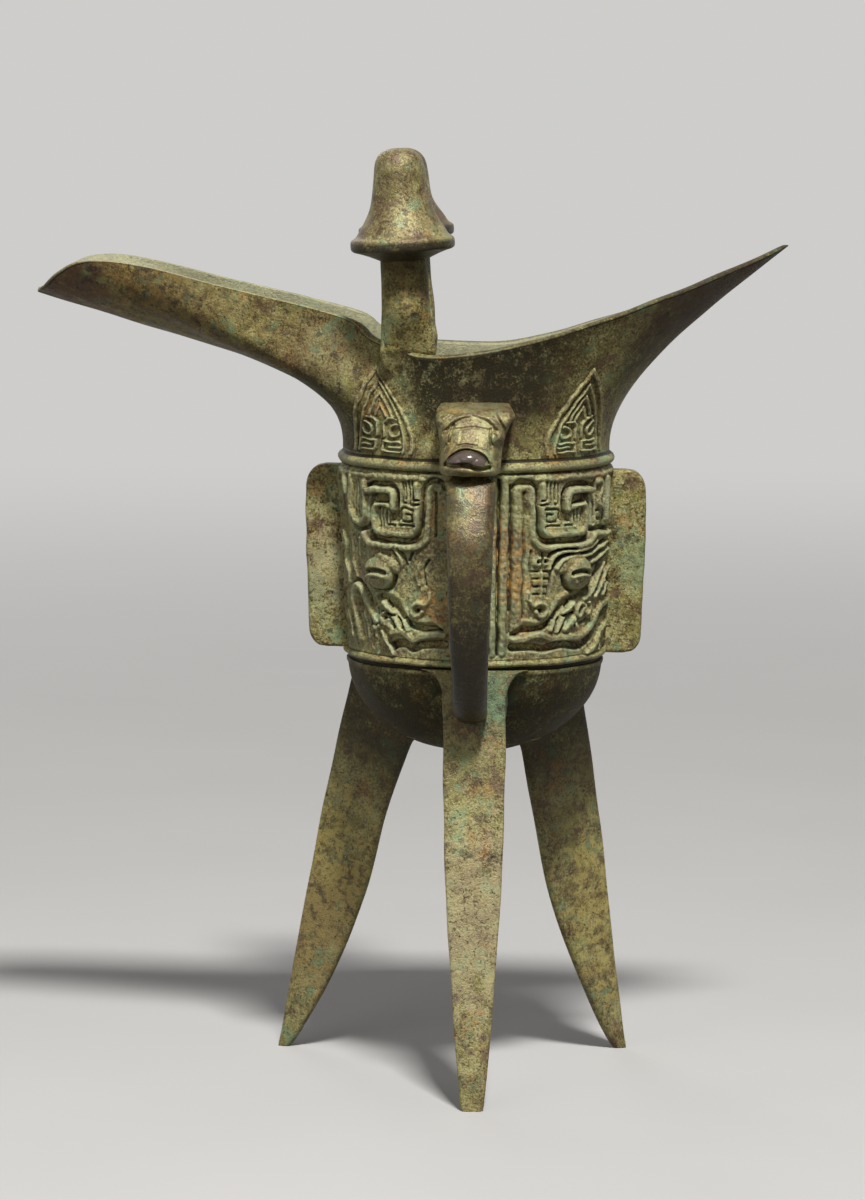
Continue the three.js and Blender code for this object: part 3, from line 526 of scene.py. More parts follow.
# What only the half at the tail's side has: tongue and curl, brow, cheek's groove, lip, fangs and ear
TAIL_SIDE_LINES = (
    # Upright tongue and curl between the horn and the flange
    (CUT, 0.9, ((15.6, 139.8), (15.3, 130.4))),
    (BAND, 1.2, ((14.3, 139.9), (13.0, 140.0), (12.2, 139.0), (12.7, 137.4), (13.7, 135.8), (13.3, 134.3),
                 (12.0, 134.1), (11.3, 135.1))),
    (FINE, 0.55, ((14.2, 132.9), (11.4, 132.9), (11.4, 131.2), (13.9, 131.2))),
    (CUT, 0.8, ((10.2, 140.2), (9.9, 130.8))),
    (BAND, 1.1, ((8.9, 140.2), (8.6, 130.6))),
    (CUT, 0.8, ((7.5, 140.2), (7.2, 130.8))),
    (LOW_BAND, 0.9, ((6.2, 139.6), (6.0, 131.0))),
    (CUT, 1.1, ((16.9, 129.4), (15.6, 129.0), (13, 129.1), (10.5, 128.8), (4, 128.6))),
    (BAND, 1.1, ((14.4, 127.7), (10, 127.3), (4, 127.2))),
    # Strands of the brow, which sweep from over the eye up to the flange
    (BAND, 0.95, ((30.2, 120.9), (29.6, 122.3), (28.5, 123.8), (26.3, 124.5), (20.7, 124.5), (17, 125.0),
                  (14, 126.1))),
    (FINE, 0.5, ((31.0, 122.2), (30.0, 124.0), (28.2, 125.0), (22, 125.1))),
    (CUT, 0.6, ((29.2, 120.4), (28.5, 121.8), (27.0, 123.2), (24.4, 123.8), (19.5, 123.7), (16.5, 124.1),
                (13, 125.3), (8, 126.0))),
    (BAND, 0.95, ((27.8, 120.8), (26.5, 122.3), (24.0, 123.0), (20.0, 123.0), (16.0, 123.4), (12.5, 124.6),
                  (7.0, 125.2))),
    (CUT, 0.55, ((17.6, 122.3), (14.6, 122.9), (11.6, 123.8), (5.0, 124.4))),
    (BAND, 0.85, ((15.9, 121.5), (13.4, 122.0), (10.6, 122.9), (5.0, 123.5))),
    (CUT, 0.55, ((14.8, 120.4), (12.4, 121.1), (9.0, 121.8), (4.0, 122.2))),
    # The cheek's groove goes on to the flange, with strands beside it
    (CUT, 1.35, ((20.6, 113.9), (17.8, 114.9), (15.2, 116.8), (12.8, 119.2), (11.2, 121.2))),
    (BAND, 0.9, ((18.8, 112.9), (17.2, 113.4), (15.0, 114.8), (12.4, 117.0), (10.4, 119.4), (9.0, 120.8))),
    (CUT, 0.5, ((14.4, 113.6), (12.0, 115.6), (9.8, 118.0), (8.0, 119.6))),
    (BAND, 0.85, ((13.6, 112.9), (11.2, 114.5), (8.8, 116.8), (6.6, 118.4), (4.0, 119.2))),
    (CUT, 0.5, ((10.4, 113.4), (8.0, 115.2), (4.0, 116.8))),
    (BAND, 0.8, ((8.6, 113.2), (6.6, 114.6), (3.6, 115.4))),
    (BAND, 0.75, ((18.6, 111.2), (19.0, 109.8), (20.0, 109.3), (20.9, 110.1), (20.8, 111.3), (19.9, 112.1),
                  (18.7, 112.0))),
    (CUT, 0.6, ((19.9, 110.5), (19.8, 110.9))),
    (BAND, 0.8, ((17.9, 111.8), (18.0, 110.4), (17.0, 109.3), (15.9, 109.8), (15.6, 111.2), (16.2, 112.2))),
    (CUT, 0.6, ((16.9, 110.7), (16.8, 111.3))),
    (FINE, 0.5, ((19.6, 107.6), (17.6, 107.7), (15.6, 108.3))),
    # Upright grooves and a strip between the horn and the bars beside the handle
    (CUT, 0.9, ((39.9, 140.0), (39.9, 106.6))),
    (LOW_BAND, 1.7, ((38.3, 139.2), (38.1, 125), (38.0, 109.2))),
    (FINE, 0.6, ((36.6, 138.4), (36.5, 125.5), (36.5, 110.0))),
    # The lip, the deep groove under it, and the fangs
    (BAND, 1.55, ((38.9, 104.8), (36, 105.0), (33.5, 105.8), (31, 105.5), (28.5, 104.6), (26, 104.8),
                  (23, 104.7), (20.7, 104.5), (18.0, 105.2), (15.4, 106.2), (13.5, 107.4), (11.6, 109.3),
                  (9.6, 110.4), (6.5, 111.1), (3, 111.0))),
    (CUT, 1.6, ((39.2, 103.3), (35.5, 103.1), (32.5, 102.9), (30.5, 102.5), (28, 103.0), (25.4, 103.2),
                (22, 102.8), (19, 102.4), (16.5, 103.2), (13.6, 104.4), (11.4, 106.2), (9.4, 107.9),
                (6.5, 108.9), (3, 109.0))),
    (BAND, 1.4, ((16.4, 100.4), (14.2, 101.0), (12.2, 101.9), (10, 103.5), (8.0, 104.9), (5, 106.0),
                 (3, 106.2))),
    (CUT, 0.9, ((11.6, 100.5), (9.2, 101.8), (7.2, 103.3), (3, 104.2))),
    (LOW_BAND, 0.9, ((8.8, 100.6), (6.6, 101.9), (3, 102.5))),
    # The ear, two squares over a ladder
    (LOW_BAND, 2.1, ((33.3, 122.5), (30.9, 122.5))),
    (CUT, 0.8, ((33.0, 122.6), (32.8, 122.6))),
    (CUT, 0.8, ((30.9, 122.6), (30.7, 122.6))),
    (FINE, 0.55, ((31.9, 124.6), (31.9, 121.0))),
    (FINE, 0.6, ((34.8, 125.0), (34.9, 121.0), (34.3, 117.2), (34.9, 114.2))),
    (FINE, 0.6, ((29.4, 121.4), (29.6, 117.2), (30.2, 114.2))),
    (FINE, 0.5, ((34.8, 120.4), (29.6, 120.3))),
    (FINE, 0.5, ((34.4, 118.6), (29.7, 118.5))),
    (FINE, 0.5, ((34.3, 116.8), (29.9, 116.7))),
    (FINE, 0.45, ((33.9, 115.1), (30.1, 115.0))),
    (LOW_BAND, 0.7, ((32.0, 120.2), (31.9, 113.6))),
)
# What only the half at the spout's side has: lappet, hanging strands, lip, arched fang and ear
SPOUT_SIDE_LINES = (
    # A fine upright groove beside the horn
    (FINE, 0.6, ((36.8, 138.4), (36.7, 131), (36.4, 128.6))),
    # Lappet between the horn and the flange, and the curl beside it
    (CUT, 0.95, ((8.6, 140.6), (8.4, 136), (8.5, 132.6), (9.3, 130.4), (11.0, 129.1), (13.4, 128.7),
                 (15.6, 129.2), (17.0, 130.4))),
    (BAND, 1.25, ((10.2, 140.4), (9.9, 136), (9.9, 133), (10.8, 131.2), (12.4, 130.3), (14.2, 130.5),
                  (15.3, 131.8), (15.6, 136), (15.5, 140.0))),
    (FINE, 0.5, ((11.8, 139.8), (11.6, 132.8))),
    (FINE, 0.45, ((12.9, 139.8), (12.8, 132.2))),
    (FINE, 0.45, ((14.0, 139.8), (13.9, 132.6))),
    (CUT, 1.9, ((6.6, 139.2), (5.4, 137.6), (4.9, 135), (5.4, 133.2))),
    (BAND, 1.15, ((7.5, 136.6), (7.6, 139.4), (6.8, 140.9), (5.2, 140.9), (3.8, 139.7), (3.2, 137.5))),
    (LOW_BAND, 0.9, ((3.2, 137), (3.0, 131.4), (3.6, 128.6))),
    # Strands that hang beside the eye
    (LOW_BAND, 0.8, ((3.6, 126.4), (4.6, 124.0), (3.9, 120.6), (5.0, 117.4), (5.0, 114.4))),
    (CUT, 0.5, ((5.0, 126.6), (6.0, 123.6), (5.4, 120.4), (6.6, 116.8))),
    (BAND, 0.8, ((6.4, 127.4), (7.7, 124.2), (7.0, 121.0), (8.2, 118.0), (8.2, 116.0))),
    (CUT, 0.45, ((8.0, 126.4), (9.0, 123.8), (8.6, 121.2), (9.8, 118.6))),
    (LOW_BAND, 0.9, ((9.6, 127.6), (10.6, 124.6), (10.3, 121.8), (11.6, 119.2), (12.6, 117.6))),
    (CUT, 0.5, ((11.4, 126.6), (12.2, 124.4), (12.0, 122.0), (13.0, 120.2))),
    (LOW_BAND, 0.7, ((13.2, 126.8), (14.0, 124.8), (14.2, 122.8))),
    (FINE, 0.45, ((15.0, 126.2), (15.8, 124.6))),
    (FINE, 0.5, ((27.2, 125.2), (28.6, 123.6), (29.2, 121.6))),
    (LOW_BAND, 0.8, ((25.9, 125.0), (27.4, 123.5), (28.0, 121.4))),
    (FINE, 0.5, ((24.8, 124.8), (26.2, 123.4))),
    # The lip and the notch beside it
    (BAND, 1.5, ((38.9, 106.0), (36.6, 106.0), (33.1, 105.6), (31.6, 104.8), (30.4, 104.6), (29.0, 105.6),
                 (27.7, 106.3), (26.2, 106.3), (24.8, 105.8))),
    (CUT, 1.9, ((39.2, 103.8), (36, 103.7), (33, 103.4), (30.6, 102.6), (28.4, 103.6), (26, 103.4),
                (24.6, 102.6))),
    (BAND, 0.75, ((21.8, 106.0), (22.8, 104.4), (23.8, 103.0), (25.2, 100.8))),
    # The arched fang
    (CUT, 0.9, ((11.5, 103.4), (10.7, 106.2), (9.5, 109.2), (8.4, 112.0), (8.5, 114.6), (10.0, 116.4),
                (12.4, 116.8), (14.8, 116.0), (16.8, 114.0), (18.4, 112.0))),
    (BAND, 1.45, ((13.2, 103.4), (12.3, 106.5), (10.9, 109.5), (9.8, 112.0), (10.0, 114.1), (11.6, 115.4),
                  (13.8, 115.1), (15.4, 113.6), (16.8, 111.6), (18.2, 109.8), (19.5, 108.0))),
    (CUT, 2.1, ((12.0, 113.4), (12.4, 112.0), (13.4, 110.4))),
    (CUT, 0.8, ((14.0, 109.6), (14.8, 107.0), (15.4, 104.2))),
    (LOW_BAND, 0.9, ((16.7, 104.2), (16.2, 107.0), (15.4, 109.6))),
    (CUT, 0.6, ((18.2, 104.6), (17.8, 107.0), (17.0, 109.2))),
    (LOW_BAND, 0.8, ((19.8, 104.4), (19.4, 106.4))),
    (BAND, 0.85, ((9.8, 103.6), (8.8, 106.4), (7.6, 109.2))),
    (CUT, 0.6, ((8.2, 103.8), (7.2, 106.8), (6.0, 109.8), (5.8, 112.6))),
    (LOW_BAND, 0.8, ((6.6, 104.2), (5.6, 107.2), (4.4, 110.2))),
    (BAND, 0.75, ((24.0, 108.6), (23.0, 107.7), (21.8, 108.0), (21.5, 109.3), (22.5, 110.1))),
    (CUT, 0.5, ((22.6, 108.9), (22.8, 109.0))),
    (BAND, 0.7, ((20.8, 107.2), (20.0, 106.2), (19.0, 106.8))),
    # The ear, a strand between two grooves
    (LOW_BAND, 0.8, ((32.6, 121.8), (31.8, 119.6), (32.6, 117.2))),
    (FINE, 0.5, ((35.0, 123.0), (33.4, 120.8), (34.2, 117.2))),
    (FINE, 0.5, ((31.0, 124.4), (29.8, 122.6))),
)
EYE_CENTRE = (21.1, 119.3)
# The eye's lid and its ball: place about the eye's centre, radii, rise and tilt
EYE_BOSSES = (
    ((2.6, 2.4), (4.2, 1.9), 1.2, -22),
    ((0, 0), (4.5, 3.9), 2.5, 0),
)
# The eye's socket, its slit and the edge under the slit: level, width, softness, and points about its centre
EYE_LINES = (
    (-0.8, 0.9, 0.35, ((5.0, -0.6), (3.9, -2.8), (1.6, -4.1), (-0.8, -4.2), (-3.4, -3.0), (-4.7, -0.8))),
    (-1.5, 1.0, 0.34, ((2.6, 0.1), (1.2, 0.45), (-0.6, 0.5), (-3.2, -0.15))),
    (0.3, 0.6, 0.3, ((2.6, -0.85), (1.2, -0.5), (-0.6, -0.45), (-3.2, -1.1))),
)


def mask_height(across, up, tail_side):
    """The height of one half of the mask at places of arc from the flange and of height."""
    height = np.zeros(across.shape)
    for level, width, points in MASK_LINES + (TAIL_SIDE_LINES if tail_side else SPOUT_SIDE_LINES):
        flowing = width not in CORNERED_WIDTHS or len(points) > 3
        lay_line(height, across, up, level, width, points, smooth=flowing)
    x, z = EYE_CENTRE
    for (right, above), radii, rise, tilt in EYE_BOSSES:
        lay_dome(height, across, up, (x + right, z + above), radii, rise, tilt)
    for level, width, soft, points in EYE_LINES:
        placed = [(x + right, z + above) for right, above in points]
        lay_line(height, across, up, level, width, placed, soft=soft, relative=True)
    return height


# The arcs from the flange between which a shifted panel's slide grows, and from which it fades to the handle
SLIDE_START, SLIDE_END = (2, 13), 41
# How far its horn's spiral is drawn in towards the flange, between which arcs, and above which levels
HORN_DRAWN_IN = 1.1
HORN_START, HORN_END, HORN_FOOT = (8, 14), (22, 32), (124, 128)
# The uneven skin of the casting on the band: wavelength, seed and amount of each part
BAND_SKIN = ((1.3, 5, 0.11), (2.3, 7, 0.07), (7.0, 6, 0.12))
# The cells about a place that tell whether it is an edge or a recess, and what the band's marks have on top
BAND_MARK_CELLS = 6
BAND_MARK_LIFT = 0.08
# The share of the wall's thickness at which a panel's back lies
BAND_BACK = 0.65


def band_panel(name, start, end, shift):
    """One quarter of the band's relief, a closed slab between two bearings seen from above.

    The mask's half is laid from the flange, at the start bearing, to the handle's or the back flange's
    bearing, and slid round by the shift where neither end is near."""
    arc = math.radians(abs(end - start)) * BAND_RADIUS
    columns, rows = int(arc / RELIEF_PITCH), int((RELIEF_HIGH - RELIEF_LOW) / RELIEF_PITCH)
    across = np.linspace(0, arc, columns + 1)
    up = np.linspace(RELIEF_LOW, RELIEF_HIGH, rows + 1)
    bearing = np.radians(lerp(start, end, across / arc))

    def at(depth):
        radius = wall_radius(up)[:, None] + depth
        x, y = radius * np.cos(bearing), radius * np.sin(bearing)
        return np.stack([x, y, np.broadcast_to(up[:, None], x.shape)], -1)

    flat = at(0.0)
    slid = across - shift * smoothstep(across, *SLIDE_START) * (1 - smoothstep(across, SLIDE_END, arc))
    drawn_in = 0.0
    if shift:
        drawn_in = smoothstep(slid, *HORN_START) * (1 - smoothstep(slid, *HORN_END))
    slid = slid - HORN_DRAWN_IN * drawn_in * smoothstep(up, *HORN_FOOT)[:, None]
    grid_across = slid + HAND_WANDER * swell(flat, HAND_WAVELENGTH, 60)
    grid_up = up[:, None] + HAND_WANDER * swell(flat, HAND_WAVELENGTH, 61)
    height = mask_height(grid_across, grid_up, tail_side=start in (0, 360))
    edge = smoothstep(up, RELIEF_LOW, RELIEF_LOW + RELIEF_EDGE)
    edge = edge * (1 - smoothstep(up, RELIEF_HIGH - RELIEF_EDGE, RELIEF_HIGH))
    height = lerp(-RELIEF_EDGE_DEPTH, height, edge[:, None])
    # The relief's mark paints shade into its recesses and a paler, highlighted colour on its edges
    mark = relief_mark(height, BAND_MARK_CELLS) + BAND_MARK_LIFT
    for wavelength, seed, amount in BAND_SKIN:
        height = height + swell(flat, wavelength, seed) * amount
    back = at(-WALL * BAND_BACK)[:: -max(rows // 5, 1)]
    add_relief(name, at(RELIEF_LIFT + height), back, mark)


# A neck blade in its own plane: across from its axis and height above its base
BLADE_HEIGHT = 21.0
BLADE_HALF_WIDTH = 9.6
# How full its sides are
BLADE_CURVE = 1.75
# The room about its outline, and the rows and columns of its net
BLADE_MARGIN = 1.6
BLADE_CELLS = 130
# The outlines nested within its own: distance inside, height at which it starts, and how far it stands
BLADE_OUTLINES = ((2.2, 0.0, 1.15), (3.8, 8.4, 1.05), (5.3, 8.4, 1.05))
# The eyes fill what lies this far inside and below this height.
BLADE_EYES_INSIDE = 3.2
BLADE_EYES_TOP = 8.6
BLADE_EYES = (
    (BAND, 0.75, ((6.9, 4.6), (7.0, 6.0), (5.9, 7.1), (4.0, 7.2), (2.8, 6.4), (2.6, 5.2), (3.5, 4.4),
                  (4.9, 4.6), (5.2, 5.5))),
    (CUT, 0.8, ((4.1, 5.6), (4.4, 5.6))),
    (BAND, 0.7, ((1.0, 4.3), (0.9, 7.3), (1.9, 8.3), (4.2, 8.6), (6.4, 8.2))),
    (BAND, 0.65, ((7.6, 3.1), (1.2, 3.1), (1.2, 0.8), (6.8, 0.8), (6.8, 2.0), (2.8, 2.0))),
)


def blade_height(across, up):
    """A blade's relief: a double outline, nested points above, and two eyes over key-pattern bars below."""
    share = np.clip(up / BLADE_HEIGHT, 0, 1.2)
    half = BLADE_HALF_WIDTH * (1 - share**BLADE_CURVE)
    slope = 1 / np.sqrt(1 + (BLADE_HALF_WIDTH * BLADE_CURVE * share ** (BLADE_CURVE - 1) / BLADE_HEIGHT) ** 2)
    inside = (half - np.abs(across)) * slope
    height = 1.15 * (smoothstep(inside, -0.3, 0.2) - smoothstep(inside, 0.8, 1.25)) - 0.5
    for step, base, strength in BLADE_OUTLINES:
        line = smoothstep(inside, step - 0.3, step + 0.2) - smoothstep(inside, step + 0.5, step + 1.0)
        height = height + strength * line * smoothstep(up, base - 0.4, base + 0.5)
    has_eyes = (inside > BLADE_EYES_INSIDE) & (up < BLADE_EYES_TOP)
    eyes = height.copy()
    for level, width, points in BLADE_EYES:
        for side in (-1, 1):
            pairs = [(side * x, z) for x, z in points]
            lay_line(eyes, across, up, level - 0.25, width, pairs, smooth=len(points) > 6)
    height = np.where(has_eyes, eyes, height)
    shown = smoothstep(inside, -0.7, -0.25) * smoothstep(up, -0.2, 0.3)
    return lerp(-0.7, height, shown)


NECK_BLADES = (
    # name, turns of its base and its tip, and where its tip lies between neck and rim
    ("neck_blade_front_tail", 40, 50, 0.6),
    ("neck_blade_front_spout", 134, 115.5, 0.745),
    ("neck_blade_back_tail", 320, 310, 0.62),
    ("neck_blade_back", 270, 270, 0.86),
    ("neck_blade_back_spout", 226, 244.5, 0.745),
)


def neck_blade(name, base_turn, tip_turn, tip_along):
    """A blade of relief that lies on the neck and rises towards the rim."""
    rows = columns = BLADE_CELLS
    along = np.linspace(0, tip_along * 1.07, rows)
    axis_turn = lerp(base_turn, tip_turn, along / tip_along)
    middle = flare_point(axis_turn, along)
    steps = walked(middle)
    up = np.repeat((steps * BLADE_HEIGHT / np.interp(tip_along, along, steps))[:, None], columns, 1)
    room = BLADE_HALF_WIDTH * (1 - np.clip(up[:, :1] / BLADE_HEIGHT, 0, 1) ** BLADE_CURVE) + BLADE_MARGIN
    spread = np.linspace(-1, 1, columns) * np.degrees(room / NECK_RADIUS)
    turns = axis_turn[:, None] + spread
    skin = flare_point(turns, np.repeat(along[:, None], columns, 1))
    gaps = np.linalg.norm(np.diff(skin, axis=1), axis=2)
    across = np.concatenate([np.zeros((rows, 1)), np.cumsum(gaps, axis=1)], 1)
    across -= across[:, columns // 2 : columns // 2 + 1]
    normal = np.cross(np.gradient(skin, axis=0), np.gradient(skin, axis=1))
    normal /= np.linalg.norm(normal, axis=-1, keepdims=True)
    # It has to point away from the cup's axis.
    if (normal[rows // 3, columns // 2] * skin[rows // 3, columns // 2] * (1, 1, 0)).sum() < 0:
        normal = -normal
    wobble = 0.15 * swell(skin, 4.0, 62)
    height = blade_height(across + wobble, up + wobble)
    # The relief's mark paints shade into its recesses and a paler, highlighted colour on its edges
    mark = relief_mark(height, 5)
    front = skin + normal * (height + swell(skin, 1.4, 8) * 0.05)[..., None]
    back = (skin - normal)[:: -(rows // 6)]
    add_relief(name, front, back, mark)


# The ridges under and over the band: height over its edge, how far the wall stands out there, and its mark,
# which paints shade in the grooves beside a ridge and a highlight on its top
LOWER_RIDGE = (
    (0.12, 0.2, -0.1), (0.25, -0.3, -0.3), (0.6, -0.4, -0.35), (0.95, -0.25, -0.3), (1.12, 0.5, -0.05),
    (1.4, 0.95, 0.08), (1.8, 1.1, 0.12), (2.3, 0.9, 0.1), (2.6, 0.4, 0), (2.75, -0.5, -0.35),
    (3.0, -0.9, -0.45), (3.5, -BAND_RECESS, -0.4),
)
UPPER_RIDGE = (
    (-2.2, -BAND_RECESS, -0.4), (-1.7, -0.9, -0.45), (-1.35, -0.7, -0.35), (-1.1, 0.1, 0), (-0.9, 0.55, 0.15),
    (-0.4, 0.9, 0.2), (0.15, 1.0, 0.15), (0.7, 0.8, 0.1), (1.05, 0.4, 0), (1.3, 0.05, -0.3),
    (1.6, -0.1, -0.3), (2.0, 0, -0.05),
)
# The recess between them, which the masks stand in
RECESS_LOW = 103
RECESS_HIGH = 140
# How far the bowl's upper edge stands out before the lower ridge
BOWL_LIP = 0.35
# The faint seams that the mould left on spout and tail: turns, width and mark
SEAM_TURNS = (148, 28)
SEAM_WIDTH = 0.8
SEAM_MARK = -0.3
# How dark the painted shade and soot are at the bowl's middle and edge, and what its outermost edge lacks
BOWL_SHADE_AND_SOOT = (1.0, 0.86)
BOWL_EDGE_LESS_DARK = 0.45
# How dark the neck is painted all over, and the painted shadow that the rim's flare casts on the neck's front
NECK_DARKENING = 0.12
FRONT_NECK_SHADOW = 0.86
# Painted shade under the tail's flare and low under the spout, and how much darker the rim's top is at the
# tail and elsewhere
TAIL_FLARE_SHADE = 0.72
SPOUT_SHADE = 0.7
RIM_DARKENING = (0.78, 0.5)
# The power that rounds the rim's section, where 1 would be an ellipse
RIM_ROUNDING = 0.7


def cup_levels(turns):
    """The cup's wall from the pole under the bowl over the rim to the pole inside, with its marks."""
    levels, relief, inside, soot = [], [], [], []

    def level(points, shade=0.0, within=0.0, sooty=0.0):
        levels.append(points)
        relief.append(np.broadcast_to(shade, turns.shape))
        inside.append(np.broadcast_to(within, turns.shape))
        soot.append(np.broadcast_to(sooty, turns.shape))

    for share in np.concatenate([np.linspace(0, 0.93, 30), np.linspace(0.945, 1, 8)]):
        angle = share * math.pi / 2
        radius = BOWL_RADIUS * math.sin(angle) + BOWL_LIP * smoothstep(share, 0.955, 0.985)
        z = BOWL_TOP - (BOWL_TOP - BOWL_LOW) * math.cos(angle)
        # Painted shade for the shadow the bowl hangs in, with soot, lighter at the bowl's upper edge
        sooty = lerp(*BOWL_SHADE_AND_SOOT, share) - BOWL_EDGE_LESS_DARK * smoothstep(share, 0.95, 1.0)
        level(ring(turns, radius, z), sooty=sooty)
    for rise, out, shade in LOWER_RIDGE:
        level(ring(turns, wall_radius(BOWL_TOP + rise) + out, BOWL_TOP + rise), shade)
    for z in np.linspace(RECESS_LOW, RECESS_HIGH, 8):
        level(ring(turns, wall_radius(z) - BAND_RECESS, z))
    for rise, out, shade in UPPER_RIDGE:
        level(ring(turns, wall_radius(BAND_TOP + rise) + out, BAND_TOP + rise), shade)
    half, _ = half_turn(turns)
    run = rim_run(turns)
    outer, inner = flare_point(turns, 1.0), flare_point(turns, 1.0, 1.0)
    lift = 0.4 * np.linalg.norm(outer - inner, axis=1)
    stop = 1 - lift / (3 * through(FLARE, half)[1])
    front = smoothstep(turns, 36, 74) * (1 - smoothstep(turns, 102, 120))
    spout, tail = smoothstep(half, 118, 150), 1 - smoothstep(half, 18, 58)
    seam = SEAM_MARK * sum(np.exp(-(((half - turn) / SEAM_WIDTH) ** 2)) for turn in SEAM_TURNS)
    for share in np.linspace(0, 1, 46):
        # Painted shadow of the rim's flare on the neck's front, and painted shade under the tail's and the
        # spout's flares
        sooty = NECK_DARKENING + FRONT_NECK_SHADOW * front * smoothstep(share, 0.1, 0.45)
        sooty = np.maximum(sooty, TAIL_FLARE_SHADE * tail * smoothstep(share, 0.2, 0.5))
        sooty = np.maximum(sooty, SPOUT_SHADE * spout * (1 - smoothstep(share, 0.35, 0.85)))
        level(flare_point(turns, share * stop), seam * (1 - share) ** 2, sooty=sooty)
    lift = lift[:, None]
    across = (outer - inner) / 2
    # The rim's top is darker at the tail, and less so elsewhere
    rim_soot = lerp(*RIM_DARKENING, smoothstep(half, 20, 80)) * (1 - smoothstep(half, 100, 125))
    for angle in np.radians(np.linspace(0, 180, 9)):
        side, top = math.cos(angle), math.sin(angle)
        side = math.copysign(abs(side) ** RIM_ROUNDING, side)
        # A painted shade line under the rim's outer edge, and along it a paler, rubbed one that also paints a
        # highlight
        edge = 0.0
        if angle == 0:
            edge = -0.4
        elif angle < 0.5:
            edge = 0.2 * smoothstep(half, 50, 90)
        within = np.maximum(smoothstep(-side), spout * (angle > 0.5))
        points = (outer + inner) / 2 - run * lift + across * side + run * lift * top**RIM_ROUNDING
        level(points, edge, within, rim_soot * (side > -0.9))
    for share in np.linspace(1, 0, 34):
        level(flare_point(turns, share * stop, 1.0), 0.0, 1.0)
    for z in np.linspace(BAND_TOP, BOWL_TOP, 14):
        level(ring(turns, wall_radius(z) - WALL, z), 0.0, 1.0)
    depth = BOWL_TOP - BOWL_LOW - WALL
    for share in np.linspace(1, 0, 20)[1:]:
        angle = share * math.pi / 2
        floor = ring(turns, (BOWL_RADIUS - WALL) * math.sin(angle), BOWL_TOP - depth * math.cos(angle))
        # Painted shade over the floor of the bowl's hollow
        level(floor, -0.15, 1.0)
    return np.array(levels), np.array(relief), np.array(inside), np.array(soot)


# The steps round each corner of a section
ARC_STEPS = 6


def rounded_section(corners, radii, side_steps=6):
    """Points round a flat outline whose corners are rounded, the same number for every outline."""
    corners = np.asarray(corners, float)
    count = len(corners)
    outline, tangents = [], []
    for k, corner in enumerate(corners):
        before, after = corners[k - 1] - corner, corners[(k + 1) % count] - corner
        tangents.append([
            corner + side / np.linalg.norm(side) * min(radii[k], np.linalg.norm(side) * 0.48)
            for side in (before, after)
        ])
    for k, corner in enumerate(corners):
        first, last = tangents[k]
        for s in np.linspace(0, 1, ARC_STEPS + 1):
            outline.append((1 - s) ** 2 * first + 2 * s * (1 - s) * corner + s * s * last)
        following = tangents[(k + 1) % count][0]
        for s in np.linspace(0, 1, side_steps + 1)[1:-1]:
            outline.append(lerp(last, following, s))
    return np.array(outline)


def turned_about_axis(points, bearing):
    """Points turned about +Z, by degrees from +X towards +Y."""
    angle = math.radians(bearing)
    x, y = points[..., 0], points[..., 1]
    turned = (x * math.cos(angle) - y * math.sin(angle), x * math.sin(angle) + y * math.cos(angle))
    return np.stack([*turned, points[..., 2]], -1)


def bowl_fillet(radius, z):
    """How far a leg spreads where it nears the bowl, at a radius and a height."""
    down = (BOWL_TOP - z) / (BOWL_TOP - BOWL_LOW)
    away = (np.hypot(radius / BOWL_RADIUS, down) - 1) * (BOWL_TOP - BOWL_LOW)
    return FILLET_SPREAD * np.clip(1 - away / FILLET_REACH, 0, 1) ** 2


def out_of_hollow(points):
    """Draws what would reach through the bowl's wall back into the wall."""
    radius = np.hypot(points[..., 0], points[..., 1])
    least = wall_radius(np.maximum(points[..., 2], BOWL_LOW)) - LEG_ROOT
    grown = np.maximum(least / np.maximum(radius, 0.1), 1)[..., None]
    return np.concatenate([points[..., :2] * grown, points[..., 2:]], -1)


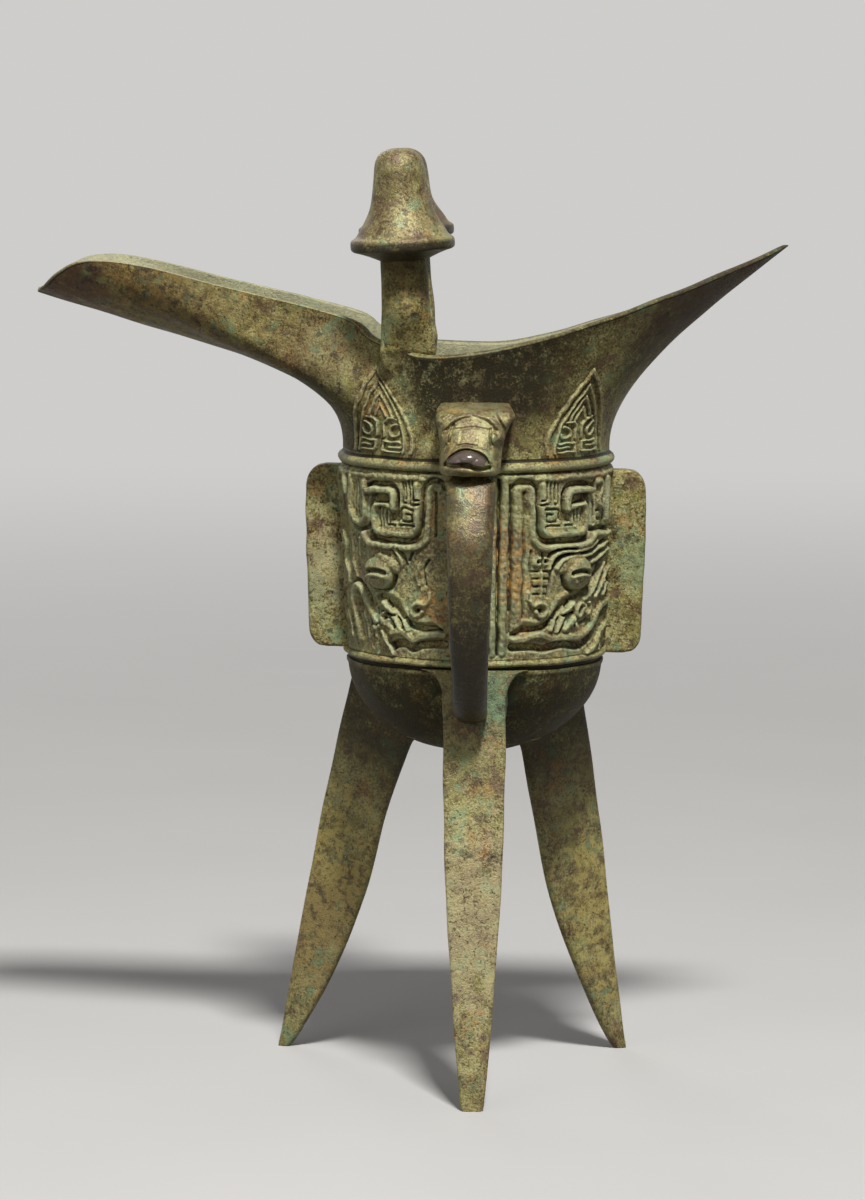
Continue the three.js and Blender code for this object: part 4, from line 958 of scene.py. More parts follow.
def leg_levels(foot_radius, swing, foot_width, deeper, deepest, shaded):
    """A blade leg along +X: flat outer face, sides that draw in to a keel, shoulders under the ridge.

    Its painted shade is the bowl's shadow painted on its top, and runs further down towards the keel."""
    top = BOWL_TOP + 0.5
    levels, soot = [], []
    shares = np.concatenate([[0.0, 0.004, 0.012], np.linspace(0.025, 0.9, 76), np.linspace(0.912, 1, 18)])
    for share in shares:
        outer = lerp(foot_radius * math.cos(swing), BOWL_RADIUS + LEG_PROUD, share**1.06)
        aside = lerp(foot_radius * math.sin(swing), 0, share**0.72)
        width = lerp(foot_width, LEG_WIDTH, math.sin(min(share / LEG_WIDE_FROM, 1) * math.pi / 2) ** 0.9)
        depth = lerp(FOOT_DEPTH, LEG_DEPTH, math.sin(min(share / LEG_DEEP_FROM, 1) * math.pi / 2) ** 0.85)
        depth += deeper * smoothstep(share, 0.1, 0.55) + (deepest - deeper) * smoothstep(share, 0.55, 0.86)
        # The foot's lowest edge is rounded, and the shoulders spread in a quarter circle.
        rounding = 1 - 0.16 * (1 - min(share / 0.012, 1)) ** 2
        shoulder = (share - SHOULDER_FROM) / 0.07
        half = width / 2 * rounding + SHOULDER_SPREAD * quarter(shoulder)
        keel = min(0.9, half * 0.4)
        edge = min(1.0, half * 0.4)
        corners = ((outer, -half), (outer, half), (outer - LEG_EDGE, half), (outer - depth, keel),
                   (outer - depth, -keel), (outer - LEG_EDGE, -half))
        section = rounded_section(corners, (edge, edge, 0.9, keel, keel, 0.9))
        # The shoulders bend round the bowl.
        wrap = smoothstep(share, 0.9, 1) * 0.9
        bent = section[:, 0] - wrap * np.maximum(section[:, 1] ** 2 - 9, 0) / (2 * BOWL_RADIUS)
        inward = np.clip((outer - section[:, 0]) / depth, 0, 1)
        fillet = bowl_fillet(np.hypot(section[:, 0], section[:, 1]), top * share)
        fillet = fillet * smoothstep(inward, 0.05, 0.4)
        across = section[:, 1] + np.sign(section[:, 1]) * fillet
        z = np.full(len(section), top * share)
        levels.append(np.stack([bent - fillet * inward, across + aside, z], -1))
        # The bowl's shadow painted on the leg's top, reaching further down towards the keel
        soot.append(shaded * smoothstep(share + 0.14 * inward, 0.7, 0.86))
    return np.array(levels), np.array(soot)


def through_path(path, count):
    """Evenly spaced points of a smooth path, and its direction at each."""
    path = np.asarray(path, float)
    lengths = walked(path)
    fine = np.stack(through(np.column_stack([lengths, path]), np.linspace(0, lengths[-1], 600)), -1)
    lengths = walked(fine)
    even = np.linspace(0, lengths[-1], count)
    points = np.stack([np.interp(even, lengths, fine[:, k]) for k in range(path.shape[1])], -1)
    direction = np.gradient(points, axis=0)
    return points, direction / np.linalg.norm(direction, axis=1, keepdims=True)


STRAP_TOP = BAND_TOP - 2.4
STRAP_LOW = BOWL_TOP - 7.5
STRAP_STANDOFF = 19.4
# At its top and at its low end
STRAP_WIDTHS = (10.9, 7.6)
STRAP_THICKNESSES = (4.6, 4.9)
# How dark the shade painted on the strap's lower part is
STRAP_SHADE = 0.95
MOUTH_LOW = 141.9
# The strap's middle line as radius and height, from inside the head's mouth to the leg
STRAP_PATH = (
    (BAND_RADIUS + STRAP_STANDOFF * 0.36, STRAP_TOP + 4.6),
    (BAND_RADIUS + STRAP_STANDOFF * 0.5, STRAP_TOP + 0.6),
    (BAND_RADIUS + STRAP_STANDOFF * 0.72, STRAP_TOP - 6.5),
    (BAND_RADIUS + STRAP_STANDOFF * 0.86, lerp(STRAP_TOP, STRAP_LOW, 0.28)),
    (BAND_RADIUS + STRAP_STANDOFF * 0.88, lerp(STRAP_TOP, STRAP_LOW, 0.55)),
    (BAND_RADIUS + STRAP_STANDOFF * 0.66, lerp(STRAP_TOP, STRAP_LOW, 0.82)),
    (BAND_RADIUS + STRAP_STANDOFF * 0.3, STRAP_LOW),
    (BOWL_RADIUS - 1.5, STRAP_LOW - 1.4),
)


def strap_levels():
    """The strap's rings from the head's mouth, where it is a thin tongue, down to the leg, and their painted
    shade.
    """
    line, run = through_path(STRAP_PATH, 160)
    angles = np.linspace(0, 2 * math.pi, 49)[:-1]
    levels, soot = [], []
    for k, ((radius, z), (out, up)) in enumerate(zip(line, run)):
        share = k / (len(line) - 1)
        half_width = lerp(*STRAP_WIDTHS, smoothstep(share, 0.05, 0.95)) / 2
        half_thick = lerp(*STRAP_THICKNESSES, share) / 2
        rounder = smoothstep(share, 0.55, 0.95)
        across = np.sign(np.cos(angles)) * np.abs(np.cos(angles)) ** lerp(0.78, 1, rounder) * half_width
        thick = np.sign(np.sin(angles)) * np.abs(np.sin(angles)) ** lerp(0.85, 1, rounder) * half_thick
        # The normal of the path in the plane of the handle, pointing away from the cup
        normal = (-up, out) if -up > 0 else (up, -out)
        rise = z + thick * normal[1]
        tongue = 1 - 0.5 * smoothstep(rise, MOUTH_LOW, MOUTH_LOW + 0.7)
        outward = radius + thick * tongue * normal[0]
        levels.append(np.stack([across * lerp(1, tongue, 0.4), -outward, rise], -1))
        # Painted shadow on the tongue within the head's mouth, and painted shade on the strap's lower part
        soot.append(np.broadcast_to(1 - tongue + STRAP_SHADE * smoothstep(share, 0.18, 0.55), angles.shape))
    return np.array(levels), np.array(soot)


HEAD_FOOT = 143.5
HEAD_TOP = 158.7
HEAD_RISE = 0.8
HEAD_OUTLINE = (
    # height share, half width, standoff at the middle, standoff at the cheeks
    (0.0, 6.6, 13.9, 8.6),
    (0.05, 6.9, 14.7, 9.4),
    (0.14, 6.9, 15.0, 9.8),
    (0.3, 6.9, 14.4, 9.6),
    (0.45, 7.1, 12.9, 8.8),
    (0.6, 7.6, 11.5, 8.2),
    (0.74, 8.2, 10.2, 7.8),
    (0.86, 8.4, 8.6, 6.8),
    (0.94, 8.3, 5.6, 4.6),
    (1.0, 7.6, 0.8, 0.4),
)
# The head's cast lines: level, width, softness and points, each as place across and height
HEAD_LINES = (
    (0.75, 1.1, 0.45, ((-7.4, 151.4), (-6.8, 152.8), (-5.2, 154.4), (-2.9, 155.9), (0, 156.4), (2.7, 155.9),
                      (4.6, 154.6), (6.2, 152.8), (7.0, 150.8))),
    (-0.3, 0.8, 0.4, ((-6.2, 151.9), (-4.7, 153.6), (-2.6, 154.9), (0, 155.3), (2.7, 154.8), (4.7, 153.3),
                      (5.8, 151.6))),
    (-0.6, 0.6, 0.25, ((-4.2, 153.8), (-4.8, 152.0), (-5.0, 150.2))),
    (-0.14, 0.6, 0.3, ((-2.3, 152.8), (-2.4, 150.6))),
    (-0.14, 0.6, 0.3, ((1.2, 152.8), (1.2, 150.6))),
    (-0.45, 0.5, 0.22, ((4.1, 153.0), (4.2, 151.2), (4.5, 149.4))),
    (-0.3, 0.5, 0.25, ((-3.9, 152.9), (0, 153.4), (3.9, 152.9))),
    (-0.5, 0.5, 0.22, ((-2.8, 149.3), (-1.4, 149.6), (0, 149.6), (1.3, 149.3))),
    (0.55, 0.7, 0.3, ((-5.6, 146.0), (-4.9, 147.3), (-3.4, 148.6), (-1.6, 149.2), (0.2, 149.2), (2.2, 148.6),
                      (3.8, 147.4), (4.6, 146.0))),
    (-0.6, 0.5, 0.22, ((-5.2, 145.8), (-4.4, 147.0), (-2.9, 148.1), (-0.7, 148.6), (1.5, 148.2), (3.2, 147.1),
                       (4.1, 145.7))),
    (-1.2, 0.8, 0.3, ((-5.3, 145.2), (-3.4, 145.2), (-1.6, 145.4), (-0.4, 145.3), (1.6, 144.7),
                      (4.3, 144.6))),
    (0.5, 1.2, 0.45, ((-6.2, 144.0), (-2.8, 144.2), (0, 143.9), (2.8, 143.6), (5.6, 143.6))),
    (-0.6, 0.7, 0.3, ((-6.9, 149.8), (-7.0, 148.0), (-6.6, 146.0))),
    (-1.1, 1.3, 0.5, ((6.0, 149.6), (6.2, 148.2), (5.9, 146.4))),
)
HEAD_BOSSES = (
    # centre, radii, rise and tilt of the eyes and the nose
    ((-6.1, 151.0), (1.3, 1.9), 0.9, -24),
    ((5.5, 151.1), (1.2, 1.7), 1.1, 24),
    ((-2.9, 146.3), (2.5, 1.5), 1.3, 22),
    ((1.7, 146.0), (2.5, 1.5), 1.3, -22),
    ((-0.6, 147.0), (3.0, 1.6), 1.6, 0),
)
NOSE = ((-0.6, 146.5), (4.7, 2.0))
# The ears: corners of each pad across and in height, and how far it stands
EARS = (
    (((-8.6, 154.0), (-8.4, 156.8), (-5.4, 157.6), (-4.2, 156.6), (-7.0, 153.6)), 1.2),
    (((8.9, 155.6), (8.0, 157.2), (4.4, 157.3), (5.0, 155.6), (6.9, 153.2), (7.8, 151.8)), 1.7),
)
# How far the head leans to one side, the share of its width that its back has, and how its sides' rows crowd
HEAD_SLANT = 0.06
HEAD_BACK_WIDTH = 0.92
HEAD_SIDE_POWER = 0.7
# How strongly painted shade marks its recesses, and a paler colour with a painted highlight its edges
HEAD_RECESS_MARK = 0.45
HEAD_EDGE_MARK = 0.6


def pad(across, up, corners, soft):
    """1 within a flat outline with straight sides, given clockwise or the other way, and 0 outside it."""
    corners = np.asarray(corners, float)
    middle = corners.mean(0)
    share = np.ones(across.shape)
    for first, last in zip(corners, np.roll(corners, -1, axis=0)):
        side = (last - first) / np.linalg.norm(last - first)
        way = np.array([-side[1], side[0]])
        if (middle - first) @ way < 0:
            way = -way
        share *= smoothstep((across - first[0]) * way[0] + (up - first[1]) * way[1], -soft, soft)
    return share


def face_within_wall(depth):
    """A way to ask for the y of a face that lies a depth within the front wall, at some x and a height."""
    grid = flare_point(np.linspace(120, 60, 61)[:, None], np.linspace(0, 1, 80))

    def face(x, z):
        if z <= NECK_START:
            return depth - np.sqrt(wall_radius(z) ** 2 - x**2)
        at_height = np.array([[np.interp(z, rise[:, 2], rise[:, k]) for k in (0, 1)] for rise in grid])
        return depth + np.interp(x, at_height[:, 0], at_height[:, 1])

    return face


def head_levels():
    """The animal's head as levels of rings that start behind the cup's wall and pass over its face."""
    columns, sides = 150, 12
    across_unit = np.linspace(-1, 1, columns)
    rows = []
    for share in np.linspace(0, 1, 160):
        half, middle, cheek = through(HEAD_OUTLINE, share)
        bulge = np.clip(1 - np.abs(across_unit) ** 2.8, 0, 1) ** 0.7
        ear = 1.0 * math.exp(-(((share - 0.84) / 0.08) ** 2)) * smoothstep(across_unit, 0.7, 1)
        rows.append((across_unit * half + ear, np.full(columns, lerp(HEAD_FOOT, HEAD_TOP, share)),
                     lerp(cheek * 0.8, middle, bulge)))
    across, up, stand = (np.array(column) for column in zip(*rows))
    drawn = up - HEAD_RISE
    detail = np.zeros(across.shape)
    for centre, radii, rise, tilt in HEAD_BOSSES:
        boss = np.zeros(across.shape)
        lay_dome(boss, across, drawn, centre, radii, rise, tilt)
        detail = np.maximum(detail, boss)
    for level, width, soft, points in HEAD_LINES:
        lay_line(detail, across, drawn, level, width, points, soft=soft, relative=True)
    # The mark paints shade into the head's recesses and a paler, highlighted colour on its edges
    mark = relief_mark(detail, 6)
    mark = np.where(mark < 0, HEAD_RECESS_MARK, HEAD_EDGE_MARK) * mark
    for corners, height in EARS:
        detail = detail + height * pad(across, drawn, corners, 0.8)
    detail = detail + 0.12 * swell(np.stack([across, up, stand], -1), 1.5, 63) * smoothstep(drawn, 154, 157)
    nose = np.zeros(across.shape)
    lay_dome(nose, across, drawn, NOSE[0], NOSE[1], 1.0)
    polish = smoothstep(nose, 0.1, 0.45) * smoothstep(drawn, 145.1, 145.6)
    face = stand + detail
    levels, marks, rubs = [], [], []
    flat, hidden = np.zeros(sides), np.zeros(9)
    within_wall = face_within_wall(HEAD_ROOT)
    for k in range(face.shape[0]):
        front = np.stack([across[k] + HEAD_SLANT * (up[k] - 150.5), -(BAND_RADIUS + face[k]), up[k]], -1)
        x = np.linspace(front[0, 0], front[-1, 0], len(hidden) + 2) * HEAD_BACK_WIDTH
        back = np.stack([x, within_wall(x, up[k, 0]), np.full(len(x), up[k, 0])], -1)
        anchors = back[0], back[-1]
        left = [lerp(anchors[0], front[0], s) for s in np.linspace(0, 1, sides + 1)[:-1] ** HEAD_SIDE_POWER]
        right = [lerp(anchors[1], front[-1], s) for s in np.linspace(1, 0, sides + 1)[1:] ** HEAD_SIDE_POWER]
        levels.append(np.concatenate([left, front, right, back[-2:0:-1]]))
        marks.append(np.concatenate([flat, mark[k], flat, hidden]))
        rubs.append(np.concatenate([flat, polish[k], flat, hidden]))
    low, high = levels[0], levels[-1]
    under = [lerp(low, low.mean(0), s) + (0, 0, 1.6 * s) for s in (0.3, 0.12)]
    over = [lerp(high, high.mean(0), s) + (0, 0, 0.2 * s) for s in (0.2, 0.5)]
    stack = np.array(under + levels + over)
    marks = np.pad(np.array(marks), ((2, 2), (0, 0)), mode="edge")
    rubs = np.pad(np.array(rubs), ((2, 2), (0, 0)))
    return stack, marks, rubs


# The steps round a turned piece, and the points along its profile
SPIN_STEPS = 96
SPIN_POINTS = 90


def spun(profile):
    """A solid turned about +Z from points of radius and height, closed at both ends."""
    path, _ = through_path(profile, SPIN_POINTS)
    bm = bmesh.new()
    line = [bm.verts.new((max(radius, 0.0) * MM, 0, z * MM)) for radius, z in path]
    edges = [bm.edges.new(pair) for pair in zip(line[:-1], line[1:])]
    bmesh.ops.spin(bm, geom=line + edges, cent=(0, 0, 0), axis=(0, 0, 1), angle=2 * math.pi, steps=SPIN_STEPS,
                   use_merge=True)
    bmesh.ops.remove_doubles(bm, verts=bm.verts, dist=WELD)
    bmesh.ops.dissolve_degenerate(bm, dist=WELD, edges=bm.edges)
    return bm


def wander(bm, amount, wavelength, seed):
    """Moves a piece's vertices a little along a smooth field."""
    places = np.array([vertex.co for vertex in bm.verts]) / MM
    for vertex, place in zip(bm.verts, uneven(places, amount, wavelength, seed)):
        vertex.co = place * MM


def post_seat(side, x):
    """The middle of the wall's top where a post stands."""
    turns = np.linspace(90, 115, 2000)
    turn = float(turns[np.argmin(np.abs(rim_point(turns)[:, 0] - x))])
    seat = rim_point(turn if side < 0 else 360 - turn)
    return np.array([seat[0], seat[1] - side * WALL / 2, seat[2]])


def stand_on_rim(bm, side, x):
    """Sets a turned piece upright on the wall's top, leaning as the posts do."""
    lean = Matrix.Rotation(math.radians(-POST_LEAN), 4, "Y")
    seat = Vector((post_seat(side, x) + AXIS) * MM)
    bmesh.ops.transform(bm, matrix=Matrix.Translation(seat) @ lean, verts=bm.verts)


def shaft_profile(height):
    """A post's shaft, from its pointed foot within the wall to the flat top under its cap."""
    return (
        (0, -9.5), (1.0, -9.0), (2.8, -6.8), (4.3, -4.4), (5.6, -2.2), (6.25, -0.5), (6.2, 0.9), (5.9, 2.8),
        (5.7, 6), (5.5, 11), (5.3, 16), (5.2, height), (5.15, height + 0.8), (2.0, height + 0.9),
        (0, height + 0.9),
    )


# What is left of how far a shaft's foot stands out of the wall, and the height over the rim where it all is
FOOT_PROUD = 0.03
FOOT_PROUD_TOP = 11.0
# How far the foot draws in for each millimetre below the rim, and what of the wall's thickness it may fill
FOOT_TAPER = 0.45
FOOT_FILLS = 0.8


def flush_with_wall(bm, side, x):
    """Draws a shaft's foot to the wall's faces, so that it rises out of the wall without a step."""
    seat = (post_seat(side, x) + AXIS) * MM
    face = seat[1] + side * WALL / 2 * MM
    for vertex in bm.verts:
        above = (vertex.co.z - seat[2]) / MM
        proud = (vertex.co.y - face) * side
        if proud > 0:
            kept = lerp(FOOT_PROUD, 1, float(smoothstep(above, -1.0, FOOT_PROUD_TOP)))
            vertex.co.y = face + side * proud * kept
        if above < 0:
            limit = face + side * FOOT_TAPER * above * MM
            vertex.co.y = min(vertex.co.y * side, limit * side) * side
            inner = limit - side * FOOT_FILLS * WALL * MM
            past = (inner - vertex.co.y) * side
            if past > 0:
                vertex.co.y = inner - side * past * float(1 - smoothstep(-above, 0.5, 6.0))


# A cap's outline from under its rim to its crown: radius, and height over the gap between it and the shaft
CAP_GAP = 0.3
CAP_OUTLINE = (
    (0, 0.35), (3.0, 0.25), (5.3, 0.1), (6.3, 0.5), (8.2, 1.3), (10.2, 2.0), (11.0, 2.2), (11.5, 2.4),
    (11.75, 2.8), (11.78, 3.6), (11.72, 4.3), (11.45, 4.75), (10.9, 5.1), (10.3, 5.6), (9.5, 6.9),
    (8.5, 8.5), (7.6, 10.1), (6.95, 11.8), (6.45, 14.0), (6.1, 16.4), (5.85, 18.6), (5.65, 20.2),
    (5.2, 21.6), (4.4, 22.7), (3.2, 23.5), (1.8, 23.95), (0.8, 24.08), (0, 24.1),
)
# The height over which a taller crown is drawn out
CAP_HEIGHT = 24.2


def cap_profile(height, extra, girth):
    """A cap over a shaft of some height, its crown raised by the extra and its radii scaled by the girth."""
    low = height + CAP_GAP
    return [(radius * girth, low + z + extra * z / CAP_HEIGHT) for radius, z in CAP_OUTLINE]


def shade_spun(bm, stations):
    """Marks a turned piece with painted shade and darkening, from heights and the amounts there."""
    layer = bm.verts.layers.float.new("soot")
    heights, amounts = zip(*stations)
    for vertex in bm.verts:
        vertex[layer] = float(np.interp(vertex.co.z / MM, heights, amounts))


# How far a flange stands out of the band, half its thickness, and how much of that its ends lose
FLANGE_PROUD = 8.26
FLANGE_HALF = 2.3
FLANGE_THINS = 0.75
# The height of its upper and of its lower outer corner, and how far each draws in
FLANGE_CORNER = (5.4, 4.4)
FLANGE_FOOT = (4.2, 3.6)


def flange_levels(drop):
    """A plate that stands out along +X, its outer corners rounded and its edges softened."""
    low, high = BOWL_TOP + 2.2 - drop, BAND_TOP - 1.9 - drop
    out = BAND_RADIUS + FLANGE_PROUD
    levels = []
    for z in np.concatenate([np.linspace(low, low + 5, 16), np.linspace(low + 5, high - 6, 22)[1:-1],
                             np.linspace(high - 6, high, 18)]):
        below, above = z - low, high - z
        corner = FLANGE_CORNER[1] * quarter(1 - above / FLANGE_CORNER[0])
        foot = FLANGE_FOOT[1] * quarter(1 - below / FLANGE_FOOT[0])
        reach = out - corner - foot - 0.9 * smoothstep(z, high - 12, low)
        half = FLANGE_HALF - FLANGE_THINS * quarter(1 - min(below, above) / FLANGE_THINS)
        inner = wall_radius(z) - FLANGE_ROOT
        corners = ((inner, -half), (reach, -half), (reach, half), (inner, half))
        section = rounded_section(corners, (0.4, 1.1, 1.1, 0.4), side_steps=10)
        levels.append(np.column_stack([section, np.full(len(section), float(z))]))
    return np.array(levels)


def linked(nodes, links, kind, inputs=None, **settings):
    """A shader node with its settings and inputs: a number or colour is set, an output is linked."""
    node = nodes.new(kind)
    for key, value in settings.items():
        setattr(node, key, value)
    for key, value in (inputs or {}).items():
        if isinstance(value, bpy.types.NodeSocket):
            links.new(value, node.inputs[key])
        else:
            node.inputs[key].default_value = value
    return node


class Surface:
    """A material under construction, with short calls for the nodes that a patina needs."""

    def __init__(self, name):
        self.material = bpy.data.materials.get(name) or bpy.data.materials.new(name)
        self.material.use_nodes = True
        self.nodes, self.links = self.material.node_tree.nodes, self.material.node_tree.links
        self.nodes.clear()
        self.place = self.add("ShaderNodeTexCoord").outputs["Object"]

    @classmethod
    def of_tree(cls, tree):
        """The same short calls on the nodes of a world."""
        surface = cls.__new__(cls)
        surface.nodes, surface.links = tree.nodes, tree.links
        surface.nodes.clear()
        return surface

    def seen(self):
        """1 where the camera, a reflection or glass sees a place, and 0 where it only gives light."""
        path = self.add("ShaderNodeLightPath").outputs
        total = self.math("ADD", path["Is Camera Ray"], path["Is Glossy Ray"])
        return self.add("ShaderNodeMath", {0: total, 1: path["Is Transmission Ray"]}, operation="ADD",
                        use_clamp=True).outputs[0]

    def add(self, kind, inputs=None, **settings):
        return linked(self.nodes, self.links, kind, inputs, **settings)

    def noise(self, size_mm, detail=4.0, roughness=0.55, seed=0.0):
        """Cloudy noise whose features are about that many millimetres across."""
        offset = (seed, seed * 0.7, seed * 1.3)
        moved = self.add("ShaderNodeMapping", {"Vector": self.place, "Location": offset}).outputs[0]
        inputs = {"Vector": moved, "Scale": 1 / (size_mm * MM), "Detail": detail, "Roughness": roughness}
        return self.add("ShaderNodeTexNoise", inputs).outputs["Fac"]

    def ramp(self, value, low, high, to_low=0.0, to_high=1.0):
        """A value's soft passage from one level to another."""
        inputs = {"Value": value, "From Min": low, "From Max": high, "To Min": to_low, "To Max": to_high}
        return self.add("ShaderNodeMapRange", inputs, interpolation_type="SMOOTHSTEP").outputs["Result"]

    def math(self, operation, a, b=0.0):
        return self.add("ShaderNodeMath", {0: a, 1: b}, operation=operation).outputs[0]

    def scaled_sum(self, value, weight, total):
        """A value times its weight, added to a total."""
        inputs = {0: value, 1: weight, 2: total}
        return self.add("ShaderNodeMath", inputs, operation="MULTIPLY_ADD").outputs[0]

    def mark(self, name):
        """One of the marks that a piece's points carry."""
        return self.add("ShaderNodeAttribute", attribute_name=name).outputs["Fac"]

    def blend(self, parts, middle):
        """A level about the middle that sums noises, each with its weight."""
        total = middle - 0.5 * sum(weight for _, weight in parts)
        for value, weight in parts:
            total = self.scaled_sum(value, weight, total)
        return total

    def stops(self, value, colours):
        """A run of colours, each at its level of a value."""
        node = self.add("ShaderNodeValToRGB", {"Fac": value})
        elements = node.color_ramp.elements
        while len(elements) < len(colours):
            elements.new(0.5)
        for element, (level, _) in zip(elements, colours):
            element.position = level
        for element, (_, colour) in zip(elements, colours):
            element.color = (*colour, 1.0)
        return node.outputs["Color"]

    def mix(self, share, a, b):
        """A share of the second colour over the first, each a colour or an output."""
        node = self.add("ShaderNodeMix", data_type="RGBA")
        for socket, value in ((node.inputs[0], share), (node.inputs[6], a), (node.inputs[7], b)):
            if isinstance(value, bpy.types.NodeSocket):
                self.links.new(value, socket)
            else:
                socket.default_value = value if socket is node.inputs[0] else (*value, 1.0)
        return node.outputs[2]

    def stain(self, centre_mm, radius_mm):
        """1 at a place about the cup's axis, falling to 0 at a distance from it."""
        centre = tuple((np.array(centre_mm) + AXIS) * MM)
        away = self.add("ShaderNodeVectorMath", {0: self.place, 1: centre}, operation="DISTANCE")
        return self.ramp(away.outputs["Value"], radius_mm * MM, 0.0)


def linear(red, green, blue):
    """A colour given as 0 to 255 screen values, as the linear values that a shader takes."""
    channels = (red, green, blue)
    return tuple(v / 255 / 12.92 if v <= 10 else ((v / 255 + 0.055) / 1.055) ** 2.4 for v in channels)


class CupColours(bpy.types.PropertyGroup):
    """The colours of the metal and of what has grown on it."""

    olive: bpy.props.FloatVectorProperty(
        name="Olive", description="Middle colour of the patina", subtype="COLOR",
        default=linear(121, 110, 67))
    moss: bpy.props.FloatVectorProperty(
        name="Moss", description="Yellow green bloom of the patina", subtype="COLOR",
        default=linear(155, 147, 97))
    umber: bpy.props.FloatVectorProperty(
        name="Umber", description="Brown purple patches", subtype="COLOR", default=linear(88, 62, 50))
    # The dirt colour of pits, which also paints shade into recesses and under the strap's lower end
    shadow: bpy.props.FloatVectorProperty(
        name="Shadow", description="Dirt in recesses and pits", subtype="COLOR", default=linear(30, 26, 15))
    malachite: bpy.props.FloatVectorProperty(
        name="Malachite", description="Pale green crust", subtype="COLOR", default=linear(128, 152, 112))
    rust: bpy.props.FloatVectorProperty(
        name="Rust", description="Orange brown crust", subtype="COLOR", default=linear(196, 138, 58))
    worn: bpy.props.FloatVectorProperty(
        name="Worn", description="Rubbed high places", subtype="COLOR", default=linear(178, 184, 142))


class CupSizes(bpy.types.PropertyGroup):
    """The sizes that shape the surface without moving what the frame fixes."""

    wall_columns: bpy.props.IntProperty(
        name="Wall Columns", description="Columns of faces round the cup's wall", default=288, min=64)
    wander: bpy.props.FloatProperty(
        name="Wander", description="How far the cast surface strays from true", default=0.00012,
        unit="LENGTH")
    panel_shift: bpy.props.FloatProperty(
        name="Panel Shift", description="How far the front mask sits towards the tail", default=0.0037,
        unit="LENGTH")


class StageSettings(bpy.types.PropertyGroup):
    """Floor, lamps and camera."""

    floor: bpy.props.FloatVectorProperty(
        name="Floor", description="Colour of the plain floor", subtype="COLOR", default=linear(178, 176, 173))
    backdrop: bpy.props.FloatVectorProperty(
        name="Backdrop", description="Colour of the far floor", subtype="COLOR",
        default=linear(206, 205, 203))
    key_power: bpy.props.FloatProperty(
        name="Key Power", description="Power of the lamp at the upper right", default=41.0, unit="POWER")
    fill_power: bpy.props.FloatProperty(
        name="Fill Power", description="Power of the broad lamp in front", default=3.2, unit="POWER")
    back_power: bpy.props.FloatProperty(
        name="Back Power", description="Power of the lamp behind", default=3.0, unit="POWER")
    sky: bpy.props.FloatProperty(
        name="Sky", description="Strength of the plain surroundings", default=0.16)


# Stains at places about the cup's axis: centre, radius, colour and amount
STAINS = (
    ((5.5, -31.5, 127.0), 13.0, "rust", 0.85),
    ((10.5, -31.0, 118.0), 11.0, "rust", 0.7),
    ((-8.5, -31.0, 112.0), 9.0, "rust", 0.5),
    ((6.0, -31.0, 91.0), 14.0, "malachite", 0.9),
    ((6.0, -31.0, 104.0), 9.0, "malachite", 0.5),
    ((-88.0, -12.0, 184.0), 34.0, "rust", 0.24),
    ((-96.0, -8.0, 180.0), 36.0, "umber", 0.8),
    ((-66.0, -15.0, 178.0), 30.0, "umber", 0.45),
    ((-36.0, -15.0, 168.0), 24.0, "umber", 0.4),
    ((8.0, -32.0, 163.0), 26.0, "umber", 0.5),
    ((-15.0, -34.0, 181.0), 24.0, "gold", 0.4),
    ((55.0, -8.0, 180.0), 40.0, "umber", 0.75),
    ((1.5, -42.0, 42.0), 44.0, "pale", 0.5),
    ((40.0, 24.0, 36.0), 46.0, "straw", 0.6),
    ((-42.0, 26.0, 40.0), 50.0, "straw", 0.8),
    ((-62.0, -15.0, 178.0), 44.0, "gold", 0.36),
    ((-36.0, 0.0, 118.0), 22.0, "pale", 0.5),
    ((32.0, 20.0, 74.0), 16.0, "umber", 0.4),
    ((39.0, 0.0, 122.0), 16.0, "malachite", 0.5),
    ((-39.0, 0.0, 112.0), 16.0, "malachite", 0.35),
    # Painted shade under the strap's lower end
    ((0.0, -44.0, 96.0), 22.0, "shadow", 0.7),
    ((-40.0, 22.0, 30.0), 30.0, "umber", 0.4),
)


